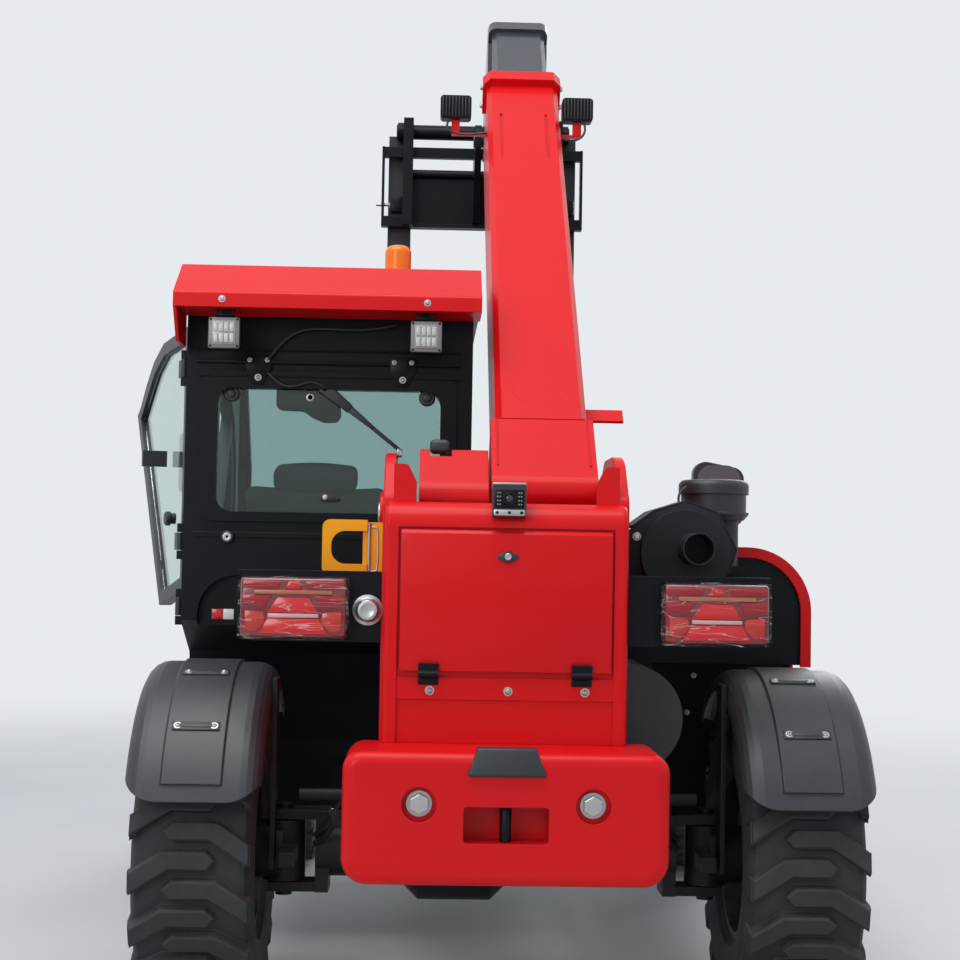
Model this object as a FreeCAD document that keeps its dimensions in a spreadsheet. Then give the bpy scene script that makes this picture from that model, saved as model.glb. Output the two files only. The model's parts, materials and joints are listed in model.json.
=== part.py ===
# Compact telehandler with four steered wheels, a side cab and a two-stage boom, in millimetres.
# Machine axes: X to the right seen from behind, Y forward, Z up. The machine's own zero is on the
# ground under the middle of the rear axle, and each sub-part's placement moves it into the frame
# whose origin is the middle of the whole machine's footprint.
import FreeCAD, Part
import math
import os
import re
import Sketcher

V = FreeCAD.Vector
doc = FreeCAD.newDocument("Telehandler")

SIZES = dict(
    # Wheels, steering and axles
    wheelbase=2300, wheel_x=762, axle_up=415, tyre_radius=415, tyre_half=152.5, tread_radius=385,
    belly_radius=298, shoulder_x=122, bead_x=112, bead_radius=212, carcass_sides=24, lug_count=18,
    lug_reach=53, lug_inset=9, lug_bend=67, lug_inner_bend=48, lug_cross=56, lug_taper=22,
    lug_bar=43, lug_foot=315,
    rim_half=125, rim_wall=10, rim_flange=11, disc_x=-40, disc_thick=14, drum_radius=105,
    drum_back=-92, hub_cap_radius=84, hub_cap_out=62, spindle_radius=40, running_fit=0.05,
    kingpin_x=560, kingpin_radius=22, casing_radius=70, diff_radius=128, diff_x=-110,
    diff_half=95, yoke_web=35, yoke_in=440, yoke_out=600, yoke_half=45, yoke_reach=106,
    yoke_thick=24, yoke_gap=4, knuckle_radius=56, hub_radius=76, hub_out=660,
    steer_arm_back=190, steer_arm_half=18, steer_rod_y=-130, steer_rod_up=574,
    steer_rod_radius=16, steer_barrel_radius=36, steer_barrel_half=262, steer_rod_half=515,
    fender_half=167.5, fender_radius=490, fender_band=7, fender_band_half=78, fender_wall=6,
    fender_skirt=58, fender_shoulder=50, fender_lean=9.5, fender_sweep=118, fender_offset=-6.5,
    fender_corner=85, tongue_sweep=108, bracket_thick=12, bracket_front=-72, bracket_back=-150,
    # Chassis plates, tower and rear end
    plate_in=280, plate_thick=28, tower_rear=-340, tower_front=160, tower_top=1460,
    tower_round=120, frame_top=600, frame_low=440, axle_arch=112, axle_clear=500,
    frame_nose=180, slope_foot=450, cross_thick=20, deck_gap=190, lift_base_y=150, lift_base_z=520,
    pivot_y=-50, pivot_z=1300, pivot_pin=35, boss_radius=62, boss_out=14, panel_thick=10,
    weight_half=385, weight_rear=-606, weight_front=-340, weight_low=427, weight_top=738,
    weight_round=62, weight_shoulder=45, weight_edge=28, pocket_half=100, pocket_low=528,
    pocket_high=613, pocket_deep=90, tow_pin=14, lamp_hole_x=204, lamp_hole_z=617, lamp_hole=41,
    lamp_hole_deep=26, bolt_head=28, pad_half=90, pad_tall=26, pad_rise=10,
    housing_half=300, housing_rear=-405, housing_front=-262, housing_top=1330,
    housing_round=58, housing_edge=12, border_half=266, border_step=10, strip_low=845,
    strip_high=900, strip_out=6, recess_half=240, recess_low=935, recess_high=1240,
    recess_deep=110, service_half=260, service_low=915, service_high=1261, service_thick=14,
    service_gap=6, service_axis=8, hinge_knuckle=9, hinge_tall=50, hinge_x=188, pin_gap=1.5,
    gusset_top=1425, gusset_in=225, gusset_thick=16, drum_x=335, drum_z=783, side_drum=140,
    drum_rear=-150, drum_long=390,
    # Boom, in its own frame: s forward along the boom from its pivot, n up across it
    boom_angle=41.9, boom_x=104, boom_half=123, boom_top=172, boom_low=-158, boom_bevel=16,
    boom_wall=12, boom_base=60, boom_end=2178, collar_long=60, collar_out=13, collar_up=28,
    collar_down=110, collar_bevel=26, base_box_end=203, base_box_half=137.5, base_box_rear=-94,
    base_round=55, hub_tube=90, hub_left=-220, hub_right=240, side_box_right=-40,
    side_box_top=150, side_box_end=104, doubler_end=340, doubler_thick=3, doubler_notch=74,
    slot_x=76, slot_start=1621, slot_end=1917, slot_wide=8, slot_deep=5,
    inner_half=96, inner_top=143, inner_low=-127, inner_start=300, inner_end=2655,
    head_half=109.5, head_long=55, head_rise=16, head_round=28, nose_s=2800, nose_n=-420,
    nose_round=70, carriage_pin=28,
    lift_eye_s=900, lift_eye_n=-260, lift_lug_gap=60, lug_plate=22, lift_barrel_radius=52,
    lift_barrel_long=795, lift_rod_radius=28, lift_rod_start=547, lift_eye_radius=45,
    lift_pin=20, tilt_base_s=2237, tilt_base_n=-190, tilt_barrel_radius=38,
    tilt_barrel_long=425, tilt_rod_radius=20, tilt_rod_start=180, tilt_eye_radius=32,
    tilt_pin=14, lever_y=-92, lever_z=137, tilt_lug_gap=42,
    # Carriage and forks, measured from the carriage pivot
    face_y=260, carriage_half=412, shaft_z=79, shaft_radius=30, bar_z=-9, bar_half=21,
    panel_high=-74, panel_low=-317, carriage_plate=10, side_deep=120, post_x=305,
    post_half=20, ear_gap=6, ear_plate=26, fork_x=339, fork_half=47.5, fork_thick=42,
    fork_hook=69, fork_heel=-557, blade_long=1070, fork_tip=12,
    # Cab
    cab_left=-897, cab_right=-75, cab_rear=350, cab_rear_low=1000, cab_arch_y=560,
    cab_arch_z=900, cab_floor_y=640, cab_floor=640, cab_toe_y=1480, cab_knee_y=1640,
    cab_knee_z=900, cab_apex_y=1700, cab_apex_z=1500, cab_brow_y=1430, cab_top=1900,
    cab_wall=45, window_left=-804, window_right=-166, window_low=1313, window_high=1668,
    window_round=45, window_frame=47, window_sill=28, window_head=51, frame_out=12,
    arch_high=1130, arch_left=-850, arch_round=110, arch_deep=28, ridge_z=1240, ridge_tall=14,
    glass=6, door_gap=6, door_thick=36, door_rear=395, door_out=12, door_hinge_y=385,
    door_ajar=19, door_frame=38, roof_left=-909, roof_right=-57,
    roof_rear=125, roof_lip=1871, roof_bend=1912, roof_peak_y=300, roof_peak=2015,
    roof_front=1500, roof_nose=1950, roof_flat=1180, roof_fall=12, skirt_thick=10,
    skirt_low=1783, seat_x=-530, seat_back_half=160, seat_cushion_half=230, seat_top=1458,
    wheel_y=1265, wheel_z=1275, steering_x=-485, steering_radius=170, steering_grip=13,
    # Engine side
    hood_in=345, hood_out=908, hood_rear=321, hood_tail=650, hood_low=560, hood_arch_y=575,
    hood_arch_z=895, hood_top=1236, hood_crest=640, hood_drop=20, hood_curve=185, hood_wall=10,
    hood_flange=30, hood_hinge_z=1246, bulkhead_gap=8, engine_in=370, engine_out=790,
    engine_rear=640, engine_front=1480, engine_low=620, engine_high=1110, beam_low=560,
    beam_wide=60, beam_out=860, beam_one=700, beam_two=1300, guard_low=430, guard_out=880,
    silencer_x=476, silencer_z=1212, silencer_radius=116, silencer_rear=-155,
    silencer_long=245, outlet_radius=41, outlet_long=116, outlet_wall=3, outlet_x=18,
    outlet_z=13, shield_rear=-120, shield_long=200, shield_thick=4, cleaner_x=604,
    cleaner_y=205, cleaner_radius=98, cleaner_low=1309, cleaner_high=1421, cleaner_lid=40,
    cleaner_step=7, cleaner_round=18, stem_radius=38, stem_x=645, stem_y=256, shelf_z=1160,
    # Lamps, mirrors and small pieces
    tail_x=522, tail_half=133, tail_z=1063, tail_tall=76, tail_rear=-400, bracket_y=-336,
    bracket_out=665, bracket_tall=84, bracket_round=40, cab_lamp_half=45, 
    cab_lamp_z=1802, cab_lamp_y=150, cab_lamp_deep=50, lamp_round=12, beacon_x=-299,
    beacon_y=500, beacon_radius=39, beacon_tall=102, beacon_dome=24, camera_half=41,
    camera_deep=30, camera_out=28, camera_z=1337, loop_left=-464, loop_right=-349, loop_low=1143, loop_high=1285,
    loop_y=-225, loop_thick=12, loop_bar=29, loop_side=23, boom_lamp_wide=105,
    boom_lamp_tall=80, boom_lamp_deep=52, boom_lamp_y=1215, boom_lamp_z=2716,
    boom_lamp_left=-180, boom_lamp_right=233, mirror_x=856, mirror_y=1735, mirror_z=1440,
    mirror_half=92, mirror_tall=122, mirror_deep=55, mirror_round=45, mirror_post=15,
    mirror_beam_y=1690, mirror_beam_z=580, left_mirror_x=-1020, tank_low=430, tank_in=-310,
    tank_out=-640, step_z=420,
)

# Places worked out from the sizes
DERIVED = dict(
    carriage_y="pivot_y + nose_s * cos(boom_angle) - nose_n * sin(boom_angle)",
    carriage_z="pivot_z + nose_s * sin(boom_angle) + nose_n * cos(boom_angle)",
    fork_tip_y="carriage_y + face_y + fork_thick + blade_long",
    frame_y="-(fork_tip_y + weight_rear - pad_rise) / 2",
    frame_x="109.1",
    plate_out="plate_in + plate_thick",
    lug_top="sqrt(tyre_radius^2 - lug_reach^2)",
    lug_out="tyre_half - lug_inset",
    fender_lip="fender_radius - fender_skirt",
    frame_front="wheelbase + frame_nose",
    hood_front="wheelbase - hood_tail",
    door_hinge_x="cab_left - door_out",
    service_axis_y="housing_rear + border_step - service_gap - service_thick - service_axis",
    lug_foot_y="lug_reach - lug_bar",
    lift_eye_y="pivot_y + lift_eye_s * cos(boom_angle) - lift_eye_n * sin(boom_angle)",
    lift_eye_z="pivot_z + lift_eye_s * sin(boom_angle) + lift_eye_n * cos(boom_angle)",
    lift_angle="atan2(lift_eye_z - lift_base_z; lift_eye_y - lift_base_y)",
    lift_long="sqrt((lift_eye_z - lift_base_z)^2 + (lift_eye_y - lift_base_y)^2)",
    tilt_base_y="pivot_y + tilt_base_s * cos(boom_angle) - tilt_base_n * sin(boom_angle)",
    tilt_base_z="pivot_z + tilt_base_s * sin(boom_angle) + tilt_base_n * cos(boom_angle)",
    tilt_rise="carriage_z + lever_z - tilt_base_z",
    tilt_run="carriage_y + lever_y - tilt_base_y",
    tilt_angle="atan2(tilt_rise; tilt_run)",
    tilt_long="sqrt(tilt_rise^2 + tilt_run^2)",
    beacon_share="(beacon_y - beacon_radius - roof_peak_y) / (roof_flat - roof_peak_y)",
    cab_inner_left="cab_left + cab_wall",
    cab_inner_right="cab_right - cab_wall",
)

# Each place is x, y, z and the turn about one axis that a sub-part's own frame has
PLACES = dict(
    machine=("0", "0", "0", None, None),
    boom=("0", "pivot_y", "pivot_z", "boom_angle", (1, 0, 0)),
    carriage=("0", "carriage_y", "carriage_z", None, None),
    lift=("boom_x", "lift_base_y", "lift_base_z", "lift_angle", (1, 0, 0)),
    tilt=("boom_x", "tilt_base_y", "tilt_base_z", "tilt_angle", (1, 0, 0)),
    door=("door_hinge_x", "door_hinge_y", "0", "door_ajar", (0, 0, 1)),
)

sheet = doc.addObject("Spreadsheet::Sheet", "Sizes")
for row, (size_name, size_value) in enumerate(SIZES.items(), start=1):
    sheet.set("A%d" % row, size_name)
    sheet.set("B%d" % row, str(size_value))
    sheet.setAlias("B%d" % row, size_name)
doc.recompute()


def sized(formula):
    """A formula in size names, as an expression that reads the sheet."""
    def swap(found):
        word = found.group()
        if word in SIZES:
            return "Sizes." + word
        if word in DERIVED:
            return "(" + sized(DERIVED[word]) + ")"
        return word
    return re.sub(r"[a-z_]+[a-z_0-9]*", swap, formula)


def bind(thing, prop, formula):
    thing.setExpression(prop, sized(formula))


PLANES = dict(side="YZ_Plane", front="XZ_Plane", top="XY_Plane")


def sketched(body, name, plane, corners, start):
    """A closed outline on one of the body's planes, its corners bound to formulas."""
    sketch = body.newObject("Sketcher::SketchObject", name)
    flat = [item for item in body.Origin.OriginFeatures if item.Role == PLANES[plane]][0]
    sketch.AttachmentSupport = [(flat, "")]
    sketch.MapMode = "FlatFace"
    sign = "-1 * " if plane == "front" else ""
    bind(sketch, "AttachmentOffset.Base.z", "%s(%s)" % (sign, start))
    count = len(corners)
    ring = [V(math.cos(2 * math.pi * k / count), math.sin(2 * math.pi * k / count), 0)
            for k in range(count)]
    for k in range(count):
        sketch.addGeometry(Part.LineSegment(ring[k], ring[(k + 1) % count]), False)
    for k in range(count):
        sketch.addConstraint(Sketcher.Constraint("Coincident", k, 2, (k + 1) % count, 1))
    for k, corner in enumerate(corners):
        for kind, formula in zip(("DistanceX", "DistanceY"), corner):
            place = sketch.addConstraint(Sketcher.Constraint(kind, -1, 1, k, 1, 1.0))
            bind(sketch, "Constraints[%d]" % place, formula)
    return sketch


def padded(body, name, plane, corners, start, length):
    sketch = sketched(body, name + "Outline", plane, corners, start)
    pad = body.newObject("PartDesign::Pad", name + "Pad")
    pad.Profile = sketch
    bind(pad, "Length", length)
    pad.Reversed = plane == "front"
    body.Tip = pad
    return sketch, pad


def rounded(body, sketch, tag, radius, picks):
    """Rounds the upright edges that stand on the outline's picked corners."""
    doc.recompute()
    feature = body.Tip
    place = sketch.Placement
    normal = place.Rotation.multVec(V(0, 0, 1))
    names = []
    for pick in picks:
        point = place.multVec(sketch.Geometry[pick].StartPoint)
        for number, edge in enumerate(feature.Shape.Edges, start=1):
            line = edge.Vertexes[-1].Point - edge.Vertexes[0].Point
            if line.Length < 1e-6 or line.cross(normal).Length > 1e-3 * line.Length:
                continue
            offset = edge.Vertexes[0].Point - point
            if offset.cross(normal).Length < 0.01:
                names.append("Edge%d" % number)
    fillet = body.newObject("PartDesign::Fillet", tag + "Round")
    fillet.Base = (feature, names)
    bind(fillet, "Radius", radius)
    body.Tip = fillet


def prism(name, plane, corners, start, length, rounds=()):
    """A body padded from an outline, with picked corners rounded: rounds is (radius, corners)."""
    body = doc.addObject("PartDesign::Body", name)
    sketch, pad = padded(body, name, plane, corners, start, length)
    for number, (radius, picks) in enumerate(rounds):
        rounded(body, sketch, "%s%d" % (name, number), radius, picks)
    return body


def softened(body, tag, radius, test):
    """Rounds every edge of the body that the test on its middle and direction picks."""
    doc.recompute()
    feature = body.Tip
    names = []
    for number, edge in enumerate(feature.Shape.Edges, start=1):
        middle = edge.valueAt((edge.FirstParameter + edge.LastParameter) / 2)
        if test(middle, edge.tangentAt((edge.FirstParameter + edge.LastParameter) / 2)):
            names.append("Edge%d" % number)
    fillet = body.newObject("PartDesign::Fillet", tag + "Soft")
    fillet.Base = (feature, names)
    bind(fillet, "Radius", radius)
    body.Tip = fillet
    return body


def turned(name, corners, sweep=None):
    """A body turned about its own X axis from an outline of x and radius."""
    body = doc.addObject("PartDesign::Body", name)
    sketch = sketched(body, name + "Outline", "front", corners, "0")
    turn = body.newObject("PartDesign::Revolution", name + "Turn")
    turn.Profile = sketch
    turn.ReferenceAxis = (sketch, ["H_Axis"])
    if sweep:
        turn.Midplane = True
        bind(turn, "Angle", sweep)
    else:
        turn.Angle = 360.0
    body.Tip = turn
    return body


def block(name, x_span, y_span, z_span):
    box = doc.addObject("Part::Box", name)
    for size, axis, span in zip(("Length", "Width", "Height"), "xyz", (x_span, y_span, z_span)):
        bind(box, size, "(%s) - (%s)" % (span[1], span[0]))
        bind(box, "Placement.Base." + axis, span[0])
    return box


TURNS = dict(x=((0, 1, 0), 90), y=((1, 0, 0), -90), z=((0, 0, 1), 0))


def rod(name, axis, start, radius, length):
    """A cylinder from a start point along x, y or z."""
    pin = doc.addObject("Part::Cylinder", name)
    turn_axis, angle = TURNS[axis]
    pin.Placement = FreeCAD.Placement(V(0, 0, 0), FreeCAD.Rotation(V(*turn_axis), angle))
    for letter, formula in zip("xyz", start):
        bind(pin, "Placement.Base." + letter, formula)
    bind(pin, "Radius", radius)
    bind(pin, "Height", length)
    return pin


def cut(name, base, tools):
    result = doc.addObject("Part::Cut", name)
    result.Base = base
    result.Tool = tools[0] if len(tools) == 1 else joined(name + "Tools", tools)
    return result


def joined(name, pieces):
    result = doc.addObject("Part::MultiFuse", name)
    result.Shapes = pieces
    result.Refine = True
    return result


def gathered(name, pieces):
    result = doc.addObject("Part::Compound", name)
    result.Links = pieces
    return result


def mirrored(name, source):
    result = doc.addObject("Part::Mirroring", name)
    result.Source = source
    result.Base = (0, 0, 0)
    result.Normal = (1, 0, 0)
    return result


NODES = []


def node(label, shape, place="machine", shift=("0", "0", "0")):
    """Names a finished sub-part and places its own frame on the machine."""
    shape.Label = label
    *origin, turn, axis = PLACES[place]
    if axis:
        shape.Placement = FreeCAD.Placement(V(0, 0, 0), FreeCAD.Rotation(V(*axis), 1))
        bind(shape, "Placement.Rotation.Angle", turn)
    base = dict(x="frame_x", y="frame_y", z="0")
    for letter, formula, more in zip("xyz", origin, shift):
        bind(shape, "Placement.Base." + letter, "%s + %s + %s" % (base[letter], formula, more))
    NODES.append(shape)
    return shape


def pair(name, make):
    """A piece and its mirror image on the other side, as a list."""
    right = make(name + "Right")
    return [right, mirrored(name + "Left", right)]


# Wheels
def turned_copies(name, source, count, first):
    """Copies of a piece set round the X axis at even steps, the first at an angle."""
    copies = []
    for k in range(count):
        copy = gathered("%s%d" % (name, k), [source])
        copy.Placement = FreeCAD.Placement(V(0, 0, 0), FreeCAD.Rotation(V(1, 0, 0), 1))
        bind(copy, "Placement.Rotation.Angle", "%d * 360 / %d + %s" % (k, count, first))
        copies.append(copy)
    return copies


def tyre():
    """A carcass of flat facets with staggered lugs, two rows bent like arrows past the middle."""
    half_step = "180 / carcass_sides"
    slab = prism("CarcassSlab", "front", [
        ("-bead_x", "bead_radius"), ("-tyre_half", "belly_radius * cos(%s)" % half_step),
        ("-shoulder_x", "tread_radius * cos(%s)" % half_step), ("shoulder_x", "tread_radius * cos(%s)" % half_step),
        ("tyre_half", "belly_radius * cos(%s)" % half_step), ("bead_x", "bead_radius")],
        "-bead_radius", "2 * bead_radius")
    wedge = prism("CarcassWedge", "side", [
        ("0", "0"), ("tyre_radius * tan(%s)" % half_step, "tyre_radius"),
        ("-tyre_radius * tan(%s)" % half_step, "tyre_radius")], "-tyre_half - 5", "2 * tyre_half + 10")
    facet = doc.addObject("Part::Common", "CarcassFacet")
    facet.Base, facet.Tool = slab, wedge
    pieces = turned_copies("Facet", facet, SIZES["carcass_sides"], "0")
    # Columns: row's name, side sign, the first lug's turn
    for row, side, first in (("Right", "", "0"), ("Left", "-1 * ", "180 / lug_count")):
        lug = prism("Lug" + row, "top", [
            (side + "lug_out", "0"), (side + "lug_bend", "lug_reach"), (side + "(-lug_cross)", "lug_reach"),
            (side + "(lug_taper - lug_cross)", "lug_foot_y"), (side + "lug_inner_bend", "lug_foot_y"),
            (side + "lug_out", "-lug_reach")], "lug_foot", "lug_top - lug_foot")
        pieces += turned_copies("Lug%s" % row, lug, SIZES["lug_count"], first)
    return joined("Tyre", pieces)


def rim():
    barrel = turned("RimBarrel", [
        ("-rim_half", "bead_radius - rim_wall"), ("-rim_half", "bead_radius + rim_flange"),
        ("-rim_half + 6", "bead_radius + rim_flange"), ("-rim_half + 6", "bead_radius"),
        ("rim_half - 6", "bead_radius"), ("rim_half - 6", "bead_radius + rim_flange"),
        ("rim_half", "bead_radius + rim_flange"), ("rim_half", "bead_radius - rim_wall"),
        ("60", "bead_radius - rim_wall"), ("40", "bead_radius - rim_wall - 22"),
        ("-60", "bead_radius - rim_wall - 22"), ("-80", "bead_radius - rim_wall")])
    centre = turned("RimCentre", [
        ("drum_back", "spindle_radius + running_fit"), ("drum_back", "drum_radius"),
        ("disc_x", "drum_radius"), ("disc_x", "bead_radius - rim_wall - 10"),
        ("disc_x + disc_thick", "bead_radius - rim_wall - 10"),
        ("disc_x + disc_thick", "hub_cap_radius + 20"), ("disc_x + disc_thick + 10", "hub_cap_radius"),
        ("hub_cap_out - 14", "hub_cap_radius - 6"), ("hub_cap_out", "hub_cap_radius - 24"),
        ("hub_cap_out", "0"), ("hub_cap_out - 12", "0"), ("hub_cap_out - 12", "spindle_radius + running_fit")])
    return joined("Rim", [barrel, centre])


def shoulder(side, inset, angles):
    """Corners along one rounded shoulder of the fender's section, at an inset from its outside."""
    return [(side + "(fender_half - fender_shoulder + (fender_shoulder - %s) * sin(%s))" % (inset, angle),
             "fender_radius - fender_shoulder + (fender_shoulder - %s) * cos(%s)" % (inset, angle)) for angle in angles]


SHOULDER_STEPS = (0, 18, 36, 54, 72, 90)


def fender():
    """A shell round the wheel's axis with soft shoulders, a raised tongue and rounded ends."""
    falling, rising = SHOULDER_STEPS, SHOULDER_STEPS[::-1]
    outside = ([("-fender_half", "fender_lip")] + shoulder("-1 * ", "0", rising)
               + shoulder("", "0", falling) + [("fender_half", "fender_lip")])
    inside = ([("fender_half - fender_wall", "fender_lip")] + shoulder("", "fender_wall", rising)
              + shoulder("-1 * ", "fender_wall", falling) + [("-fender_half + fender_wall", "fender_lip")])
    shell = turned("FenderShell", outside + inside, "fender_sweep")
    tongue = turned("FenderTongue", [
        ("-fender_band_half", "fender_radius - 3"), ("-fender_band_half + fender_band", "fender_radius + fender_band"),
        ("fender_band_half - fender_band", "fender_radius + fender_band"), ("fender_band_half", "fender_radius - 3")],
        "tongue_sweep")
    corners = []
    for end, sign in (("Back", ""), ("Front", "-1 * ")):
        inward, outward = sign + "fender_corner", sign + "(-5)"
        span = (outward, inward) if not sign else (inward, outward)
        square = block("Corner" + end, ("fender_half - fender_corner", "fender_half + 5"), span,
                       ("fender_lip - 20", "fender_radius + 20"))
        keep = rod("CornerRound" + end, "z", ("fender_half - fender_corner", inward, "fender_lip - 25"),
                   "fender_corner", "fender_radius - fender_lip + 50")
        corner = cut("CornerTool" + end, square, [keep])
        for side, piece in (("Right", corner), ("Left", mirrored("CornerMirror" + end, corner))):
            placed = gathered("Corner%s%s" % (end, side), [piece])
            placed.Placement = FreeCAD.Placement(V(0, 0, 0), FreeCAD.Rotation(V(1, 0, 0), 1))
            bind(placed, "Placement.Rotation.Angle", sign + "fender_sweep / 2")
            corners.append(placed)
    return cut("Fender", joined("FenderSolid", [shell, tongue]), corners)


def knuckle():
    """The right knuckle, measured from the middle of its axle at wheel height."""
    post = rod("KnucklePost", "z", ("kingpin_x", "0", "-yoke_reach + yoke_thick + yoke_gap"),
               "knuckle_radius", "2 * (yoke_reach - yoke_thick - yoke_gap)")
    hub = rod("KnuckleHub", "x", ("kingpin_x", "0", "0"), "hub_radius", "hub_out - kingpin_x")
    spindle = rod("Spindle", "x", ("hub_out - 5", "0", "0"), "spindle_radius",
                  "wheel_x + hub_cap_out - 14 - hub_out")
    arm = block("SteerArm", ("kingpin_x - 40", "kingpin_x"), ("-steer_arm_back", "0"),
                ("-steer_arm_half", "steer_arm_half"))
    stay = block("FenderStay", ("wheel_x + fender_offset - fender_half - bracket_thick",
                                "wheel_x + fender_offset - fender_half"),
                 ("bracket_back", "bracket_front"), ("-30", "fender_lip + 26"))
    pin_hole = rod("KingpinHole", "z", ("kingpin_x", "0", "-yoke_reach"),
                   "kingpin_radius + running_fit", "2 * yoke_reach")
    return cut("Knuckle", joined("KnuckleSolid", [post, hub, spindle, arm, stay]), [pin_hole])


def axle(name):
    casing = turned(name + "Casing", [
        ("-yoke_in - yoke_web", "0"), ("-yoke_in - yoke_web", "casing_radius"),
        ("diff_x - diff_half - 60", "casing_radius"), ("diff_x - diff_half", "diff_radius"),
        ("diff_x + diff_half", "diff_radius"), ("diff_x + diff_half + 60", "casing_radius"),
        ("yoke_in + yoke_web", "casing_radius"), ("yoke_in + yoke_web", "0")])

    def yoke(side):
        web = block(side + "Web", ("yoke_in", "yoke_in + yoke_web"), ("-yoke_half - 10", "yoke_half + 10"),
                    ("-yoke_reach", "yoke_reach"))
        high = block(side + "High", ("yoke_in", "yoke_out"), ("-yoke_half", "yoke_half"),
                     ("yoke_reach - yoke_thick", "yoke_reach"))
        low = block(side + "Low", ("yoke_in", "yoke_out"), ("-yoke_half", "yoke_half"),
                    ("-yoke_reach", "-yoke_reach + yoke_thick"))
        pin = rod(side + "Kingpin", "z", ("kingpin_x", "0", "-yoke_reach - 14"), "kingpin_radius",
                  "2 * yoke_reach + 28")
        return joined(side + "Yoke", [web, high, low, pin])

    pads = pair(name + "Pad", lambda tag: block(
        tag, ("plate_in - 70", "plate_out"), ("-60", "60"), ("0", "axle_clear - axle_up")))
    barrel = rod(name + "SteerBarrel", "x", ("-steer_barrel_half", "steer_rod_y", "steer_rod_up - axle_up"),
                 "steer_barrel_radius", "2 * steer_barrel_half")
    rods = rod(name + "SteerRod", "x", ("-steer_rod_half", "steer_rod_y", "steer_rod_up - axle_up"),
               "steer_rod_radius", "2 * steer_rod_half")
    holders = pair(name + "Holder", lambda tag: block(
        tag, ("120", "150"), ("steer_rod_y - 20", "0"), ("0", "steer_rod_up - axle_up")))
    return joined(name, [casing, barrel, rods] + pair(name, yoke) + pads + holders)


wheel_parts = dict(tyre=tyre(), rim=rim(), knuckle=knuckle(), fender=fender())
wheel_parts_left = {key: mirrored(key.title() + "Mirror", part) for key, part in wheel_parts.items()}

# Columns: corner, side sign, axle's place
CORNERS = [("rear_left", "-1", "0"), ("rear_right", "1", "0"),
           ("front_left", "-1", "wheelbase"), ("front_right", "1", "wheelbase")]
for corner, sign, along in CORNERS:
    source = wheel_parts if sign == "1" else wheel_parts_left
    centre = (sign + " * wheel_x", along, "axle_up")
    for kind in ("tyre", "rim"):
        node("%s_%s" % (kind, corner), gathered("%s_%s" % (kind, corner), [source[kind]]), shift=centre)
    node("knuckle_" + corner, gathered("knuckle_" + corner, [source["knuckle"]]),
         shift=("0", along, "axle_up"))
    cover = gathered("fender_" + corner, [source["fender"]])
    cover.Placement = FreeCAD.Placement(V(0, 0, 0), FreeCAD.Rotation(V(1, 0, 0), 1))
    bind(cover, "Placement.Rotation.Angle", "fender_lean")
    node("fender_" + corner, cover, shift=(sign + " * (wheel_x + fender_offset)", along, "axle_up"))
node("rear_axle", axle("RearAxle"), shift=("0", "0", "axle_up"))
node("front_axle", axle("FrontAxle"), shift=("0", "wheelbase", "axle_up"))


# Chassis and rear end
def side_plate(name):
    plate = prism(name, "side", [
        ("tower_rear", "axle_clear"), ("tower_rear", "frame_top"), ("frame_front", "frame_top"),
        ("frame_front", "frame_low"), ("wheelbase + axle_arch", "frame_low"),
        ("wheelbase + axle_arch", "axle_clear"), ("wheelbase - axle_arch", "axle_clear"),
        ("wheelbase - axle_arch", "frame_low"), ("axle_arch", "frame_low"),
        ("axle_arch", "axle_clear")], "plate_in", "plate_thick")
    holes = [rod("%sRodHole%d" % (name, k), "x", ("plate_in - 5", along + "steer_rod_y", "steer_rod_up"),
                 "steer_rod_radius + 14", "plate_thick + 10") for k, along in enumerate(("", "wheelbase + "))]
    return cut(name + "Holed", plate, holes)


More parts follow.
